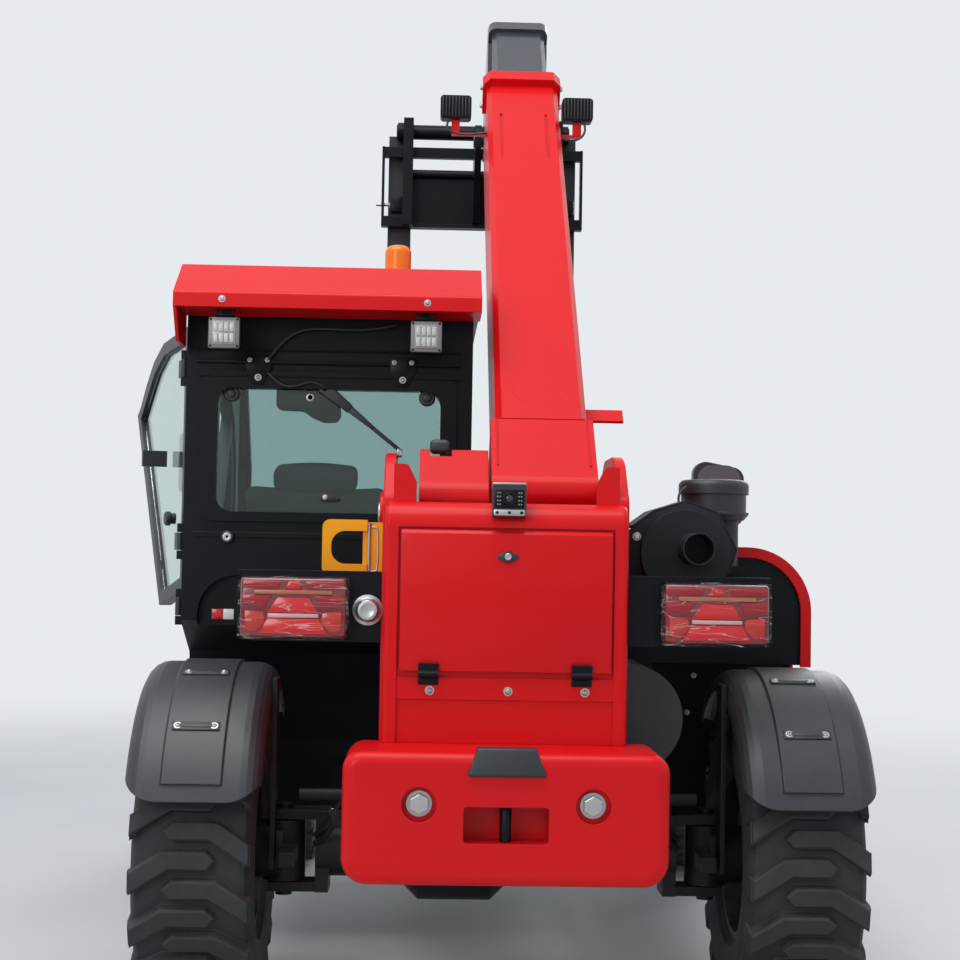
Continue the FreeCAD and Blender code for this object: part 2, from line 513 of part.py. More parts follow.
def chassis():
    plates = pair("SidePlate", side_plate)
    across, foot_z, foot_out = ("-plate_in", "plate_in"), ("frame_top - 5", "engine_low"), ("engine_in", "beam_out")
    deck = ("axle_clear", "axle_clear + cross_thick")
    first, second = ("beam_one", "beam_one + beam_wide"), ("beam_two", "beam_two + beam_wide")
    cab_foot, cab_foot_z = ("-beam_out", "cab_right - beam_wide"), ("frame_top - 5", "cab_floor")
    guard_z = ("guard_low", "cab_floor")
    # Columns: name, x span, y span, z span
    boxes = [
        ("RearDeck", across, ("tower_rear", "-deck_gap"), deck),
        ("LiftBeam", across, ("lift_base_y - 15", "lift_base_y + 65"), ("frame_low", "lift_base_z - lift_eye_radius - 7")),
        ("MidBeam", across, ("beam_one + 200", "beam_one + 300"), ("frame_low", "frame_top - 60")),
        ("FrontDeck", across, ("wheelbase / 2", "wheelbase - deck_gap"), deck),
        ("FrontWall", across, ("frame_front - cross_thick", "frame_front"), ("frame_low", "frame_top")),
        ("BeamOne", ("-beam_out", "beam_out"), first, ("beam_low", "frame_top")),
        ("BeamTwo", ("-beam_out", "beam_out"), second, ("beam_low", "frame_top")),
        ("EngineFootOne", foot_out, first, foot_z), ("EngineFootTwo", foot_out, second, foot_z),
        ("CabFootOne", cab_foot, first, cab_foot_z), ("CabFootTwo", cab_foot, second, cab_foot_z),
        ("CleanerShelf", ("stem_x - 48", "stem_x + 48"), ("stem_y - 48", "hood_rear + 20"), ("shelf_z", "shelf_z + 20")),
        ("CabGuard", ("-guard_out", "-plate_out + 2"), ("cab_floor_y + 5", "cab_floor_y + 15"), guard_z),
        ("CabGuardStay", ("-plate_out - 40", "-plate_out + 2"), ("cab_floor_y + 5", "beam_one + 5"), ("beam_low", "frame_top")),
        ("EngineGuard", ("plate_out - 2", "guard_out"), ("engine_rear - 40", "engine_rear - 30"), ("guard_low", "hood_arch_z")),
        ("BulkheadFoot", ("plate_out", "plate_out + 20"), ("hood_rear - 70", "hood_rear + 20"), ("frame_top - 60", "frame_top + 120")),
    ]
    pieces = [block(*row) for row in boxes]
    bulkhead = prism("Bulkhead", "front", [
        ("plate_out", "frame_top + 20"), ("hood_in + 110", "frame_top + 20"), ("hood_in + 110", "hood_arch_z + 5"),
        ("hood_out - hood_wall - bulkhead_gap", "hood_arch_z + 5"),
        ("hood_out - hood_wall - bulkhead_gap", "hood_top - hood_wall - bulkhead_gap - 3"),
        ("hood_out - hood_curve - 78", "hood_top - hood_wall - bulkhead_gap - 3"),
        ("hood_in + 7", "hood_top - hood_drop - hood_wall - bulkhead_gap - 3"),
        ("plate_out", "hood_top - hood_drop - 50")], "hood_rear + 17", "panel_thick",
        rounds=[("hood_curve - hood_wall - bulkhead_gap", [4])])
    lugs = [block("LiftLug" + side, (low, high), ("lift_base_y - 40", "lift_base_y + 40"),
                  ("frame_low + 5", "lift_base_z + lift_eye_radius"))
            for side, low, high in (("Left", "boom_x - lift_lug_gap - lug_plate", "boom_x - lift_lug_gap"),
                                    ("Right", "boom_x + lift_lug_gap", "boom_x + lift_lug_gap + lug_plate"))]
    pin = rod("LiftBasePin", "x", ("boom_x - lift_lug_gap - lug_plate - 8", "lift_base_y", "lift_base_z"),
              "lift_pin", "2 * (lift_lug_gap + lug_plate + 8)")
    return joined("Chassis", plates + pieces + lugs + [bulkhead, pin])


def tower():
    """The two red ears that carry the boom's pivot, with their inner gussets."""
    def ear(name):
        plate = prism(name, "side", [
            ("tower_rear", "frame_top"), ("tower_rear", "tower_top - tower_round"), ("tower_rear + 130", "tower_top"),
            ("tower_front - 60", "tower_top"), ("tower_front", "pivot_z"), ("slope_foot", "frame_top")],
            "plate_in", "plate_thick", rounds=[("tower_round", [2, 3]), ("40", [1])])
        softened(plate, name, "6", lambda middle, way: abs(middle.x - SIZES["plate_in"] - SIZES["plate_thick"]) < 0.1
                 and middle.z > SIZES["housing_top"])
        boss = rod(name + "Boss", "x", ("plate_out - 1", "pivot_y", "pivot_z"), "boss_radius", "boss_out + 1")
        gusset = prism(name + "Gusset", "front", [
            ("gusset_in", "housing_top - 60"), ("gusset_in", "gusset_top - 45"), ("gusset_in + 22", "gusset_top"),
            ("plate_in + 2", "gusset_top"), ("plate_in + 2", "housing_top - 60")],
            "tower_rear + 2", "gusset_thick", rounds=[("14", [1, 2])])
        return joined(name + "Bossed", [plate, boss, gusset])
    pin = rod("PivotPin", "x", ("-plate_out - boss_out", "pivot_y", "pivot_z"), "pivot_pin", "2 * (plate_out + boss_out)")
    return joined("Tower", pair("Ear", ear) + [pin])


def lamp_brackets():
    def bracket(name):
        return prism(name, "front", [
            ("plate_out", "tail_z - bracket_tall"), ("bracket_out", "tail_z - bracket_tall"),
            ("bracket_out", "tail_z + bracket_tall"), ("plate_out", "tail_z + bracket_tall")],
            "bracket_y", "panel_thick", rounds=[("bracket_round", [1, 2])])
    rail = block("LampRail", ("plate_out", "bracket_out"), ("bracket_y", "bracket_y + 24"),
                 ("tail_z + bracket_tall - 2", "tail_z + bracket_tall + 8"))
    return joined("LampBracketPair", pair("LampBracket", bracket) + [rail, mirrored("LampRailLeft", rail)])


def counterweight():
    body = prism("Counterweight", "front", [
        ("-weight_half", "weight_low"), ("weight_half", "weight_low"),
        ("weight_half", "weight_top"), ("-weight_half", "weight_top")],
        "weight_rear", "weight_front - weight_rear",
        rounds=[("weight_round", [0, 1]), ("weight_shoulder", [2, 3])])
    softened(body, "Counterweight", "weight_edge",
             lambda middle, way: abs(middle.y - SIZES["weight_rear"]) < 0.1)
    pocket = prism("TowPocket", "front", [
        ("-pocket_half", "pocket_low"), ("pocket_half", "pocket_low"), ("pocket_half", "pocket_high"),
        ("-pocket_half", "pocket_high")], "weight_rear - 5", "pocket_deep + 5", rounds=[("9", [0, 1, 2, 3])])
    holes = pair("LampHole", lambda tag: rod(
        tag, "y", ("lamp_hole_x", "weight_rear - 5", "lamp_hole_z"), "lamp_hole", "lamp_hole_deep + 5"))
    return cut("CounterweightDone", body, [pocket] + holes)


def weight_bolts():
    """The hexagon heads that sit in the counterweight's two round recesses."""
    def head(name):
        bolt = doc.addObject("Part::Prism", name)
        bolt.Placement = FreeCAD.Placement(V(0, 0, 0), FreeCAD.Rotation(V(1, 0, 0), -90))
        for letter, formula in zip("xyz", ("lamp_hole_x", "weight_rear + 4", "lamp_hole_z")):
            bind(bolt, "Placement.Base." + letter, formula)
        bolt.Polygon = 6
        bind(bolt, "Circumradius", "bolt_head")
        bind(bolt, "Height", "lamp_hole_deep - 4")
        return bolt
    return gathered("WeightBolts", pair("WeightBolt", head))


def step_pad():
    """The black tread pad that wraps the counterweight's rear upper edge."""
    return prism("StepPad", "side", [
        ("weight_rear - pad_rise", "weight_top - 2 * pad_tall"), ("weight_rear - pad_rise", "weight_top - 2"),
        ("weight_rear + 6", "weight_top + pad_rise"), ("weight_rear + 3 * pad_tall", "weight_top + pad_rise"),
        ("weight_rear + 3 * pad_tall", "weight_top"), ("weight_rear + weight_edge * (1 - tan(22.5))", "weight_top"),
        ("weight_rear", "weight_top - weight_edge * (1 - tan(22.5))"), ("weight_rear", "weight_top - 2 * pad_tall")],
        "-pad_half", "2 * pad_half")


def rear_housing():
    shell = prism("HousingShell", "side", [
        ("housing_rear", "weight_top"), ("housing_rear", "housing_top"),
        ("tower_rear", "housing_top"), ("tower_rear", "weight_top")],
        "-housing_half", "2 * housing_half", rounds=[("housing_round", [1])])
    softened(shell, "HousingShell", "housing_edge",
             lambda middle, way: abs(abs(middle.x) - SIZES["housing_half"]) < 0.1
             and abs(middle.y - SIZES["housing_rear"]) < 0.1)
    core = block("HousingCore", ("-plate_in", "plate_in"), ("tower_rear - 10", "housing_front"),
                 ("weight_top", "housing_top - 60"))
    step = block("BorderStep", ("-border_half", "border_half"), ("housing_rear - 5", "housing_rear + border_step"),
                 ("weight_top - 5", "service_high + 6"))
    recess = block("ServiceRecess", ("-recess_half", "recess_half"), ("housing_rear - 5", "housing_rear + recess_deep"),
                   ("recess_low", "recess_high"))
    strip = block("FixedStrip", ("-border_half", "border_half"),
                  ("housing_rear + border_step - strip_out", "housing_rear + border_step + 1"), ("strip_low", "strip_high"))
    opened = cut("RearHousingCut", joined("HousingSolid", [shell, core]), [step, recess])
    return joined("RearHousing", [opened, strip])


def service_door():
    panel = prism("ServicePanel", "side", [
        ("housing_rear + border_step - service_gap", "service_low"), ("service_axis_y + service_axis", "service_low"),
        ("service_axis_y + service_axis", "service_high"), ("housing_rear + border_step - service_gap", "service_high")],
        "-service_half", "2 * service_half", rounds=[("4", [1, 2])])
    return panel


def service_hinges():
    """The door's own halves of its two black hinges: a knuckle on the axis and a leaf on the panel."""
    def hinge(name):
        span = ("hinge_x - hinge_tall / 2", "hinge_x + hinge_tall / 2")
        knuckle = rod(name + "Knuckle", "x", (span[0], "service_axis_y", "service_low - service_axis + 1"),
                      "service_axis", "hinge_tall")
        leaf = block(name + "Leaf", span, ("service_axis_y", "service_axis_y + service_axis"),
                     ("service_low - service_axis + 1", "service_low + 20"))
        return joined(name, [knuckle, leaf])
    return gathered("ServiceHinges", pair("ServiceHinge", hinge))


def fixed_leaves():
    """The halves of the service door's hinges that stay on the strip below it."""
    return gathered("FixedLeaves", pair("FixedLeaf", lambda tag: block(
        tag, ("hinge_x - hinge_tall / 2", "hinge_x + hinge_tall / 2"),
        ("service_axis_y + service_axis / 2", "housing_rear + border_step - strip_out"),
        ("strip_low + 36", "service_low - 2 * service_axis - 1"))))


def rear_fittings():
    """Black pieces on the rear: step pad, bolt heads, towing pin and the fixed hinge leaves."""
    tow_pin = rod("TowPin", "z", ("0", "weight_rear + 40", "pocket_low"), "tow_pin", "pocket_high - pocket_low")
    return gathered("RearFittings", [weight_bolts(), step_pad(), tow_pin, fixed_leaves()])


def side_drum():
    """The dark drum beside the right plate, its inner side cut off flat against the plate."""
    drum = rod("DrumBody", "y", ("drum_x", "drum_rear", "drum_z"), "side_drum", "drum_long")
    trim = block("DrumTrim", ("drum_x - side_drum - 5", "plate_out"), ("drum_rear - 5", "drum_rear + drum_long + 5"),
                 ("drum_z - side_drum - 5", "drum_z + side_drum + 5"))
    return cut("SideDrum", drum, [trim])


node("chassis_frame", chassis())
node("boom_tower", tower())
node("lamp_brackets", lamp_brackets())
node("counterweight", counterweight())
node("rear_fittings", rear_fittings())
node("rear_housing", rear_housing())
node("service_door", service_door())
node("service_hinges", service_hinges())
node("side_drum", side_drum())


# Boom, in its own frame
def boom_section(name, half, low, high, bevel, start, length):
    return prism(name, "front", [
        ("boom_x - %s" % half, low), ("boom_x + %s" % half, low),
        ("boom_x + %s" % half, "%s - %s" % (high, bevel)), ("boom_x + %s - %s" % (half, bevel), high),
        ("boom_x - %s + %s" % (half, bevel), high), ("boom_x - %s" % half, "%s - %s" % (high, bevel))],
        start, length)


def outer_boom():
    tube = boom_section("BoomTube", "boom_half", "boom_low", "boom_top", "boom_bevel",
                        "boom_base", "boom_end - boom_base")
    collar = boom_section("BoomCollar", "(boom_half + collar_out)", "boom_top - collar_down",
                          "boom_top + collar_up", "collar_bevel", "boom_end - collar_long", "collar_long")
    base = prism("BoomBase", "side", [
        ("base_box_rear", "boom_bevel"), ("base_box_rear", "boom_top + 4"), ("base_box_end", "boom_top + 4"),
        ("base_box_end", "boom_low"), ("0", "boom_low")],
        "boom_x - base_box_half", "2 * base_box_half", rounds=[("base_round", [1])])
    side_box = prism("SideBox", "side", [
        ("base_box_rear", "0"), ("base_box_rear", "side_box_top"), ("side_box_end", "side_box_top"),
        ("side_box_end", "0")], "hub_left", "side_box_right - hub_left", rounds=[("base_round", [1]), ("10", [2])])
    notch = block("SideBoxNotch", ("hub_left + 26", "hub_left + 84"), ("side_box_end - 34", "side_box_end + 5"),
                  ("side_box_top - 34", "side_box_top + 5"))
    hub = rod("BoomHub", "x", ("hub_left", "0", "0"), "hub_tube", "hub_right - hub_left")
    lugs = [prism("LiftEyePlate" + side, "side", [
        ("lift_eye_s - 190", "boom_low + 5"), ("lift_eye_s - 40", "lift_eye_n - 50"),
        ("lift_eye_s + 40", "lift_eye_n - 50"), ("lift_eye_s + 190", "boom_low + 5")],
        start, "lug_plate", rounds=[("30", [1, 2])])
        for side, start in (("Left", "boom_x - lift_lug_gap - lug_plate"), ("Right", "boom_x + lift_lug_gap"))]
    doubler = cut("BoomDoubler", block("DoublerPlate", ("boom_x - boom_half + boom_bevel", "boom_x + boom_half - boom_bevel"),
                                       ("base_box_end - 1", "doubler_end"), ("boom_top - 1", "boom_top + doubler_thick")),
                  [rod("DoublerNotch", "z", ("boom_x", "doubler_end", "boom_top - 5"), "doubler_notch", "20")])
    hose_tab = block("HoseTab", ("boom_x + boom_half - 2", "boom_x + boom_half + 110"), ("300", "350"), ("92", "100"))
    bore = boom_section("BoomBore", "(boom_half - boom_wall)", "boom_low + boom_wall",
                        "boom_top - boom_wall", "boom_bevel", "inner_start - 60", "boom_end - inner_start + 80")
    pin_hole = rod("BoomPinHole", "x", ("hub_left - 5", "0", "0"), "pivot_pin + running_fit",
                   "hub_right - hub_left + 10")
    slots = [block("TopSlot%d" % k, ("boom_x + %s * slot_x - slot_wide / 2" % sign, "boom_x + %s * slot_x + slot_wide / 2" % sign),
                   ("slot_start", "slot_end"), ("boom_top - slot_deep", "boom_top + 5"))
             for k, sign in enumerate(("-1", "1"))]
    solid = joined("OuterBoomSolid", [tube, collar, base, side_box, hub, doubler, hose_tab] + lugs)
    return cut("OuterBoom", solid, [bore, pin_hole, notch] + slots)


def inner_boom():
    tube = boom_section("InnerTube", "inner_half", "inner_low", "inner_top", "boom_bevel",
                        "inner_start", "inner_end - inner_start")
    nose = prism("NosePlates", "side", [
        ("inner_end - 260", "inner_low + 20"), ("inner_end - 20", "inner_top - 10"),
        ("inner_end + 60", "inner_top - 40"), ("nose_s + nose_round", "nose_n + 90"),
        ("nose_s + nose_round", "nose_n - nose_round"), ("nose_s - nose_round", "nose_n - nose_round"),
        ("inner_end - 120", "inner_low - 30")],
        "boom_x - head_half", "2 * head_half",
        rounds=[("nose_round - 8", [4, 5]), ("40", [2, 3])])
    slot = block("NoseSlot", ("boom_x - tilt_lug_gap - 18", "boom_x + tilt_lug_gap + 18"),
                 ("inner_end - 140", "nose_s + nose_round + 20"), ("nose_n - nose_round - 20", "inner_low - 20"))
    head = prism("HeadFrame", "front", [
        ("boom_x - head_half", "inner_low"), ("boom_x + head_half", "inner_low"),
        ("boom_x + head_half", "inner_top + head_rise"), ("boom_x - head_half", "inner_top + head_rise")],
        "inner_end - head_long", "head_long", rounds=[("head_round", [2, 3])])
    lugs = [prism("TiltLug" + side, "side", [
        ("tilt_base_s - 40", "inner_low + 5"), ("tilt_base_s - 36", "tilt_base_n - 30"),
        ("tilt_base_s + 30", "tilt_base_n - 30"), ("tilt_base_s + 120", "inner_low + 5")],
        start, "14", rounds=[("20", [1, 2])])
        for side, start in (("Left", "boom_x - tilt_lug_gap - 14"), ("Right", "boom_x + tilt_lug_gap"))]
    tilt_pin = rod("TiltBasePin", "x", ("boom_x - tilt_lug_gap - 14", "tilt_base_s", "tilt_base_n"),
                   "tilt_pin", "2 * (tilt_lug_gap + 14)")
    pin = rod("CarriagePin", "x", ("boom_x - head_half - ear_gap - ear_plate - 6", "nose_s", "nose_n"),
              "carriage_pin", "2 * (head_half + ear_gap + ear_plate + 6)")
    return joined("InnerBoom", [cut("InnerHead", joined("InnerSolid", [tube, nose, head]), [slot]), tilt_pin, pin] + lugs)


node("outer_boom", outer_boom(), "boom")
node("inner_boom", inner_boom(), "boom")


# Cylinders: each lies along its own Y axis from its base pin
def cylinder(name, tag):
    def part(word):
        return "%s_%s" % (tag, word)
    ring = rod(name + "Ring", "x", ("-%s_lug_gap + 6" % tag, "0", "0"), part("eye_radius"),
               "2 * (%s_lug_gap - 6)" % tag)
    tube = rod(name + "Tube", "y", ("0", "%s_eye_radius - 12" % tag, "0"), part("barrel_radius"),
               "%s_barrel_long - %s_eye_radius + 12" % (tag, tag))
    bore = rod(name + "Bore", "y", ("0", "%s_eye_radius + 12" % tag, "0"),
               "%s_rod_radius + running_fit" % tag, part("barrel_long"))
    hole = rod(name + "Hole", "x", ("-%s_lug_gap" % tag, "0", "0"), "%s_pin + running_fit" % tag,
               "2 * %s_lug_gap" % tag)
    barrel = cut(name + "Barrel", joined(name + "Solid", [ring, tube]), [bore, hole])
    shaft = rod(name + "Shaft", "y", ("0", part("rod_start"), "0"), part("rod_radius"),
                "%s_long - %s_rod_start" % (tag, tag))
    eye = rod(name + "Eye", "x", ("-%s_lug_gap + 8" % tag, "%s_long" % tag, "0"), part("eye_radius"),
              "2 * (%s_lug_gap - 8)" % tag)
    eye_hole = rod(name + "EyeHole", "x", ("-%s_lug_gap" % tag, "%s_long" % tag, "0"),
                   "%s_pin + running_fit" % tag, "2 * %s_lug_gap" % tag)
    rod_part = cut(name + "Rod", joined(name + "RodSolid", [shaft, eye]), [eye_hole])
    node(tag + "_barrel", barrel, tag)
    node(tag + "_rod", rod_part, tag)


cylinder("Lift", "lift")
cylinder("Tilt", "tilt")


# Carriage and forks, measured from the carriage pivot
def carriage():
    frame_z = ("panel_low", "bar_z + bar_half")
    ends = pair("EndPlate", lambda tag: block(
        tag, ("carriage_half - carriage_plate", "carriage_half"), ("face_y - 70", "face_y - 25"), frame_z))
    ends += pair("InnerPost", lambda tag: block(
        tag, ("post_x - post_half", "post_x + post_half"), ("face_y - side_deep", "face_y - 20"),
        ("panel_low", "shaft_z + shaft_radius + 12")))
    ends += pair("LowArm", lambda tag: block(
        tag, ("post_x", "carriage_half"), ("face_y - 70", "face_y - 25"), ("panel_low", "panel_low + 2 * bar_half")))
    ends += pair("ShaftCollar", lambda tag: rod(
        tag, "x", ("post_x + post_half", "face_y - 40", "shaft_z"), "shaft_radius + 8", "25"))
    shaft = rod("ForkShaft", "x", ("-post_x - 50", "face_y - 40", "shaft_z"), "shaft_radius", "2 * (post_x + 50)")
    bar = block("CarriageBar", ("-carriage_half", "carriage_half"), ("face_y - 62", "face_y - 30"),
                ("bar_z - bar_half", "bar_z + bar_half"))
    panel = joined("CarriagePanel", [
        block("PanelPlate", ("-post_x", "post_x"), ("face_y - 26", "face_y"), ("panel_low", "panel_high")),
        rod("PanelRail", "x", ("-post_x", "face_y - 30", "panel_high - 18"), "18", "2 * post_x"),
        block("PanelFoot", ("-post_x", "post_x"), ("face_y - 60", "face_y"), ("panel_low", "panel_low + 14"))])
    ears = []
    for side, low in (("Left", "boom_x - head_half - ear_gap - ear_plate"), ("Right", "boom_x + head_half + ear_gap")):
        ears.append(prism("Ear" + side, "side", [
            ("-52", "-52"), ("-52", "52"), ("face_y - 60", "shaft_z + 20"), ("face_y - 5", "shaft_z + 20"),
            ("face_y - 5", "panel_low + 20"), ("face_y - 90", "panel_low + 20")],
            low, "ear_plate", rounds=[("50", [0, 1])]))
    levers = []
    for side, low in (("Left", "boom_x - tilt_lug_gap - 12"), ("Right", "boom_x + tilt_lug_gap")):
        levers.append(prism("Lever" + side, "side", [
            ("lever_y - 28", "lever_z - 20"), ("lever_y - 28", "lever_z + 28"), ("lever_y + 28", "lever_z + 28"),
            ("face_y - 45", "bar_z + 20"), ("face_y - 45", "bar_z - 20"), ("face_y - 120", "bar_z + 20")],
            low, "12", rounds=[("24", [0, 1, 2])]))
    pin_hole = rod("CarriageHole", "x", ("boom_x - 2 * head_half", "0", "0"), "carriage_pin + running_fit",
                   "4 * head_half")
    return cut("Carriage", joined("CarriageSolid", ends + [shaft, bar, panel] + ears + levers), [pin_hole])


def forks():
    def tine(name):
        return prism(name, "side", [
            ("face_y", "fork_heel"), ("face_y + fork_thick + blade_long", "fork_heel"),
            ("face_y + fork_thick + blade_long", "fork_heel + fork_tip"),
            ("face_y + fork_thick + blade_long * 0.4", "fork_heel + fork_thick"),
            ("face_y + fork_thick", "fork_heel + fork_thick"),
            ("face_y + fork_thick", "fork_hook"), ("face_y", "fork_hook")],
            "fork_x - fork_half", "2 * fork_half", rounds=[("30", [0]), ("14", [4])])
    return gathered("Forks", pair("Tine", tine))


node("carriage", carriage(), "carriage")
node("forks", forks(), "carriage")

# Cab
CAB_OUTER = [("cab_rear", "cab_rear_low"), ("cab_arch_y", "cab_arch_z"), ("cab_floor_y", "cab_floor"),
             ("cab_toe_y", "cab_floor"), ("cab_knee_y", "cab_knee_z"), ("cab_apex_y", "cab_apex_z"),
             ("cab_brow_y", "cab_top"), ("cab_rear", "cab_top")]
CAB_INNER = [("cab_rear + cab_wall", "cab_rear_low + cab_wall - 8"), ("cab_arch_y + 32", "cab_arch_z + 43"),
             ("cab_floor_y + 36", "cab_floor + cab_wall"), ("cab_toe_y - 25", "cab_floor + cab_wall"),
             ("cab_knee_y - 43", "cab_knee_z + 15"), ("cab_apex_y - 46", "cab_apex_z - 10"),
             ("cab_brow_y - 22", "cab_top - cab_wall"), ("cab_rear + cab_wall", "cab_top - cab_wall")]
UPPER_DOOR = [("door_rear", "1085"), ("744", "1030"), ("1210", "1642"), ("1161", "1663"), ("1065", "1727"),
              ("935", "1795"), ("778", "1838"), ("door_rear", "1850")]
LOWER_DOOR = [("door_rear", "990"), ("580", "912"), ("646", "700"), ("1330", "700"), ("1305", "1500"),
              ("1225", "1640"), ("750", "1018"), ("door_rear", "1074")]
DOORWAY = [("door_rear - door_gap", "984"), ("574", "905"), ("640", "694"), ("1336", "694"), ("1311", "1503"),
           ("1232", "1650"), ("1166", "1671"), ("1069", "1734"), ("938", "1802"), ("779", "1845"),
           ("door_rear - door_gap", "1853")]


UPPER_HINGES = ("1200", "1700")
LOWER_HINGES = ("1012",)


def cab_hinges():
    """The pillar's halves of the door hinges, one above and one below each knuckle of the leaves."""
    pieces = []
    for k, height in enumerate(UPPER_HINGES + LOWER_HINGES):
        for side, low in (("Low", height + " - hinge_tall / 2 - pin_gap"), ("High", height + " + hinge_tall + pin_gap")):
            tag = "CabHinge%s%d" % (side, k)
            span = (low, low + " + hinge_tall / 2")
            pieces += [rod(tag + "Knuckle", "z", ("door_hinge_x", "door_hinge_y", low), "hinge_knuckle", "hinge_tall / 2"),
                       block(tag + "Lug", ("door_hinge_x", "cab_left + 4"),
                             ("door_hinge_y - hinge_knuckle", "door_rear - door_gap - 1"), span)]
    return pieces


def cab_frame():
    shell = prism("CabShell", "side", CAB_OUTER, "cab_left", "cab_right - cab_left", rounds=[("60", [5])])
    frame = prism("RearWindowFrame", "front", [
        ("window_left - window_frame", "window_low - window_sill"), ("window_right + window_frame", "window_low - window_sill"),
        ("window_right + window_frame", "window_high + window_head"), ("window_left - window_frame", "window_high + window_head")],
        "cab_rear - frame_out", "frame_out + 1", rounds=[("window_round", [0, 1, 2, 3])])
    ridge = block("RearRidge", ("cab_left + 30", "cab_right - 12"), ("cab_rear - frame_out / 2", "cab_rear + 1"),
                  ("ridge_z", "ridge_z + ridge_tall"))
    arch = prism("RearArch", "front", [
        ("arch_left", "cab_rear_low - 20"), ("cab_right + 5", "cab_rear_low - 20"), ("cab_right + 5", "arch_high"),
        ("arch_left", "arch_high")], "cab_rear - 5", "arch_deep + 5", rounds=[("arch_round", [3])])
    hollow = prism("CabHollow", "side", CAB_INNER, "cab_inner_left", "cab_inner_right - cab_inner_left")
    window = prism("RearWindowHole", "front", [
        ("window_left", "window_low"), ("window_right", "window_low"), ("window_right", "window_high"),
        ("window_left", "window_high")], "cab_rear - frame_out - 5", "cab_wall + frame_out + 10",
        rounds=[("window_round", [0, 1, 2, 3])])
    front = prism("WindscreenHole", "side", [
        ("1540", "960"), ("cab_apex_y + 60", "960"), ("cab_apex_y + 60", "cab_top - 55"),
        ("1390", "cab_top - 55"), ("1540", "1600")], "cab_left + 62", "cab_right - cab_left - 124")
    right = prism("RightWindowHole", "side", [
        ("450", "1190"), ("1560", "1190"), ("1620", "1490"), ("1400", "1830"), ("450", "1830")],
        "cab_inner_right - 10", "cab_wall + 20", rounds=[("window_round", [0, 4])])
    quarter = prism("QuarterWindowHole", "side", [
        ("1385", "1000"), ("1570", "1000"), ("1622", "1490"), ("1440", "1770"), ("1385", "1770")],
        "cab_left - 10", "cab_wall + 20")
    doorway = prism("Doorway", "side", DOORWAY, "cab_left - 10", "cab_wall + 20")
    body = joined("CabBody", [shell, frame, ridge])
    return joined("CabFrame", [cut("CabOpened", body, [hollow, window, front, right, quarter, doorway, arch])] + cab_hinges())


def cab_glass():
    rear = prism("RearPane", "front", [
        ("window_left + 1", "window_low + 1"), ("window_right - 1", "window_low + 1"),
        ("window_right - 1", "window_high - 1"), ("window_left + 1", "window_high - 1")],
        "cab_rear + 14", "glass", rounds=[("window_round", [0, 1, 2, 3])])
    front = prism("Windscreen", "side", [
        ("cab_knee_y - 14", "962"), ("cab_apex_y - 21", "cab_apex_z - 5"), ("cab_brow_y + 22", "cab_top - 58"),
        ("cab_brow_y + 14", "cab_top - 58"), ("cab_apex_y - 29", "cab_apex_z - 7"), ("cab_knee_y - 21", "962")],
        "cab_left + 64", "cab_right - cab_left - 128")
    right = prism("RightPane", "side", [
        ("452", "1192"), ("1558", "1192"), ("1617", "1490"), ("1399", "1828"), ("452", "1828")],
        "cab_right - 20", "glass", rounds=[("window_round", [0, 4])])
    quarter = prism("QuarterPane", "side", [
        ("1387", "1002"), ("1568", "1002"), ("1619", "1490"), ("1439", "1768"), ("1387", "1768")],
        "cab_left + 14", "glass")
    return gathered("CabGlass", [rear, front, right, quarter])


def cab_roof():
    """The red cap with its folded rear lip, and the skirt that hangs at its left end."""
    cap = prism("RoofCap", "side", [
        ("roof_rear", "roof_lip"), ("roof_rear", "roof_bend"), ("roof_peak_y", "roof_peak"),
        ("roof_flat", "roof_peak - roof_fall"), ("roof_front", "roof_nose"), ("roof_front", "cab_top"),
        ("cab_rear - 20", "cab_top"), ("cab_rear - 20", "roof_lip")],
        "roof_left", "roof_right - roof_left", rounds=[("10", [1]), ("14", [2]), ("60", [3]), ("20", [4])])
    skirt = prism("RoofSkirt", "side", [
        ("roof_rear", "roof_lip + 5"), ("roof_rear + 75", "skirt_low"), ("cab_rear - 8", "skirt_low"),
        ("cab_rear - 8", "roof_lip + 5")], "roof_left", "skirt_thick", rounds=[("12", [1, 2])])
    return joined("CabRoof", [cap, skirt])


def seat():
    base = block("SeatBase", ("seat_x - 150", "seat_x + 150"), ("690", "1000"), ("cab_floor + cab_wall", "960"))
    cushion = prism("SeatCushion", "side", [
        ("600", "960"), ("1080", "960"), ("1100", "1010"), ("1060", "1050"), ("600", "1050")],
        "seat_x - seat_cushion_half", "2 * seat_cushion_half", rounds=[("25", [2, 3, 4])])
    back = prism("SeatBack", "side", [
        ("560", "1030"), ("660", "1030"), ("600", "seat_top"), ("520", "seat_top"), ("480", "seat_top - 70")],
        "seat_x - seat_back_half", "2 * seat_back_half", rounds=[("35", [2, 3])])
    return joined("Seat", [base, cushion, back])


def console():
    post = prism("ConsolePost", "side", [
        ("1330", "cab_floor + cab_wall"), ("1440", "cab_floor + cab_wall"), ("1400", "1150"), ("1330", "1250"),
        ("wheel_y", "1200")], "steering_x - 55", "110")
    wheel = doc.addObject("Part::Torus", "SteeringWheel")
    wheel.Placement = FreeCAD.Placement(V(0, 0, 0), FreeCAD.Rotation(V(1, 0, 0), 35))
    for letter, formula in zip("xyz", ("steering_x", "wheel_y", "wheel_z")):
        bind(wheel, "Placement.Base." + letter, formula)
    bind(wheel, "Radius1", "steering_radius")
    bind(wheel, "Radius2", "steering_grip")
    spoke = rod("SteeringSpoke", "x", ("steering_x - steering_radius", "wheel_y", "wheel_z"), "12", "2 * steering_radius")
    column = block("SteeringColumn", ("steering_x - 15", "steering_x + 15"), ("wheel_y - 10", "wheel_y + 25"),
                   ("1180", "wheel_z + 10"))
    return joined("Console", [post, wheel, spoke, column])


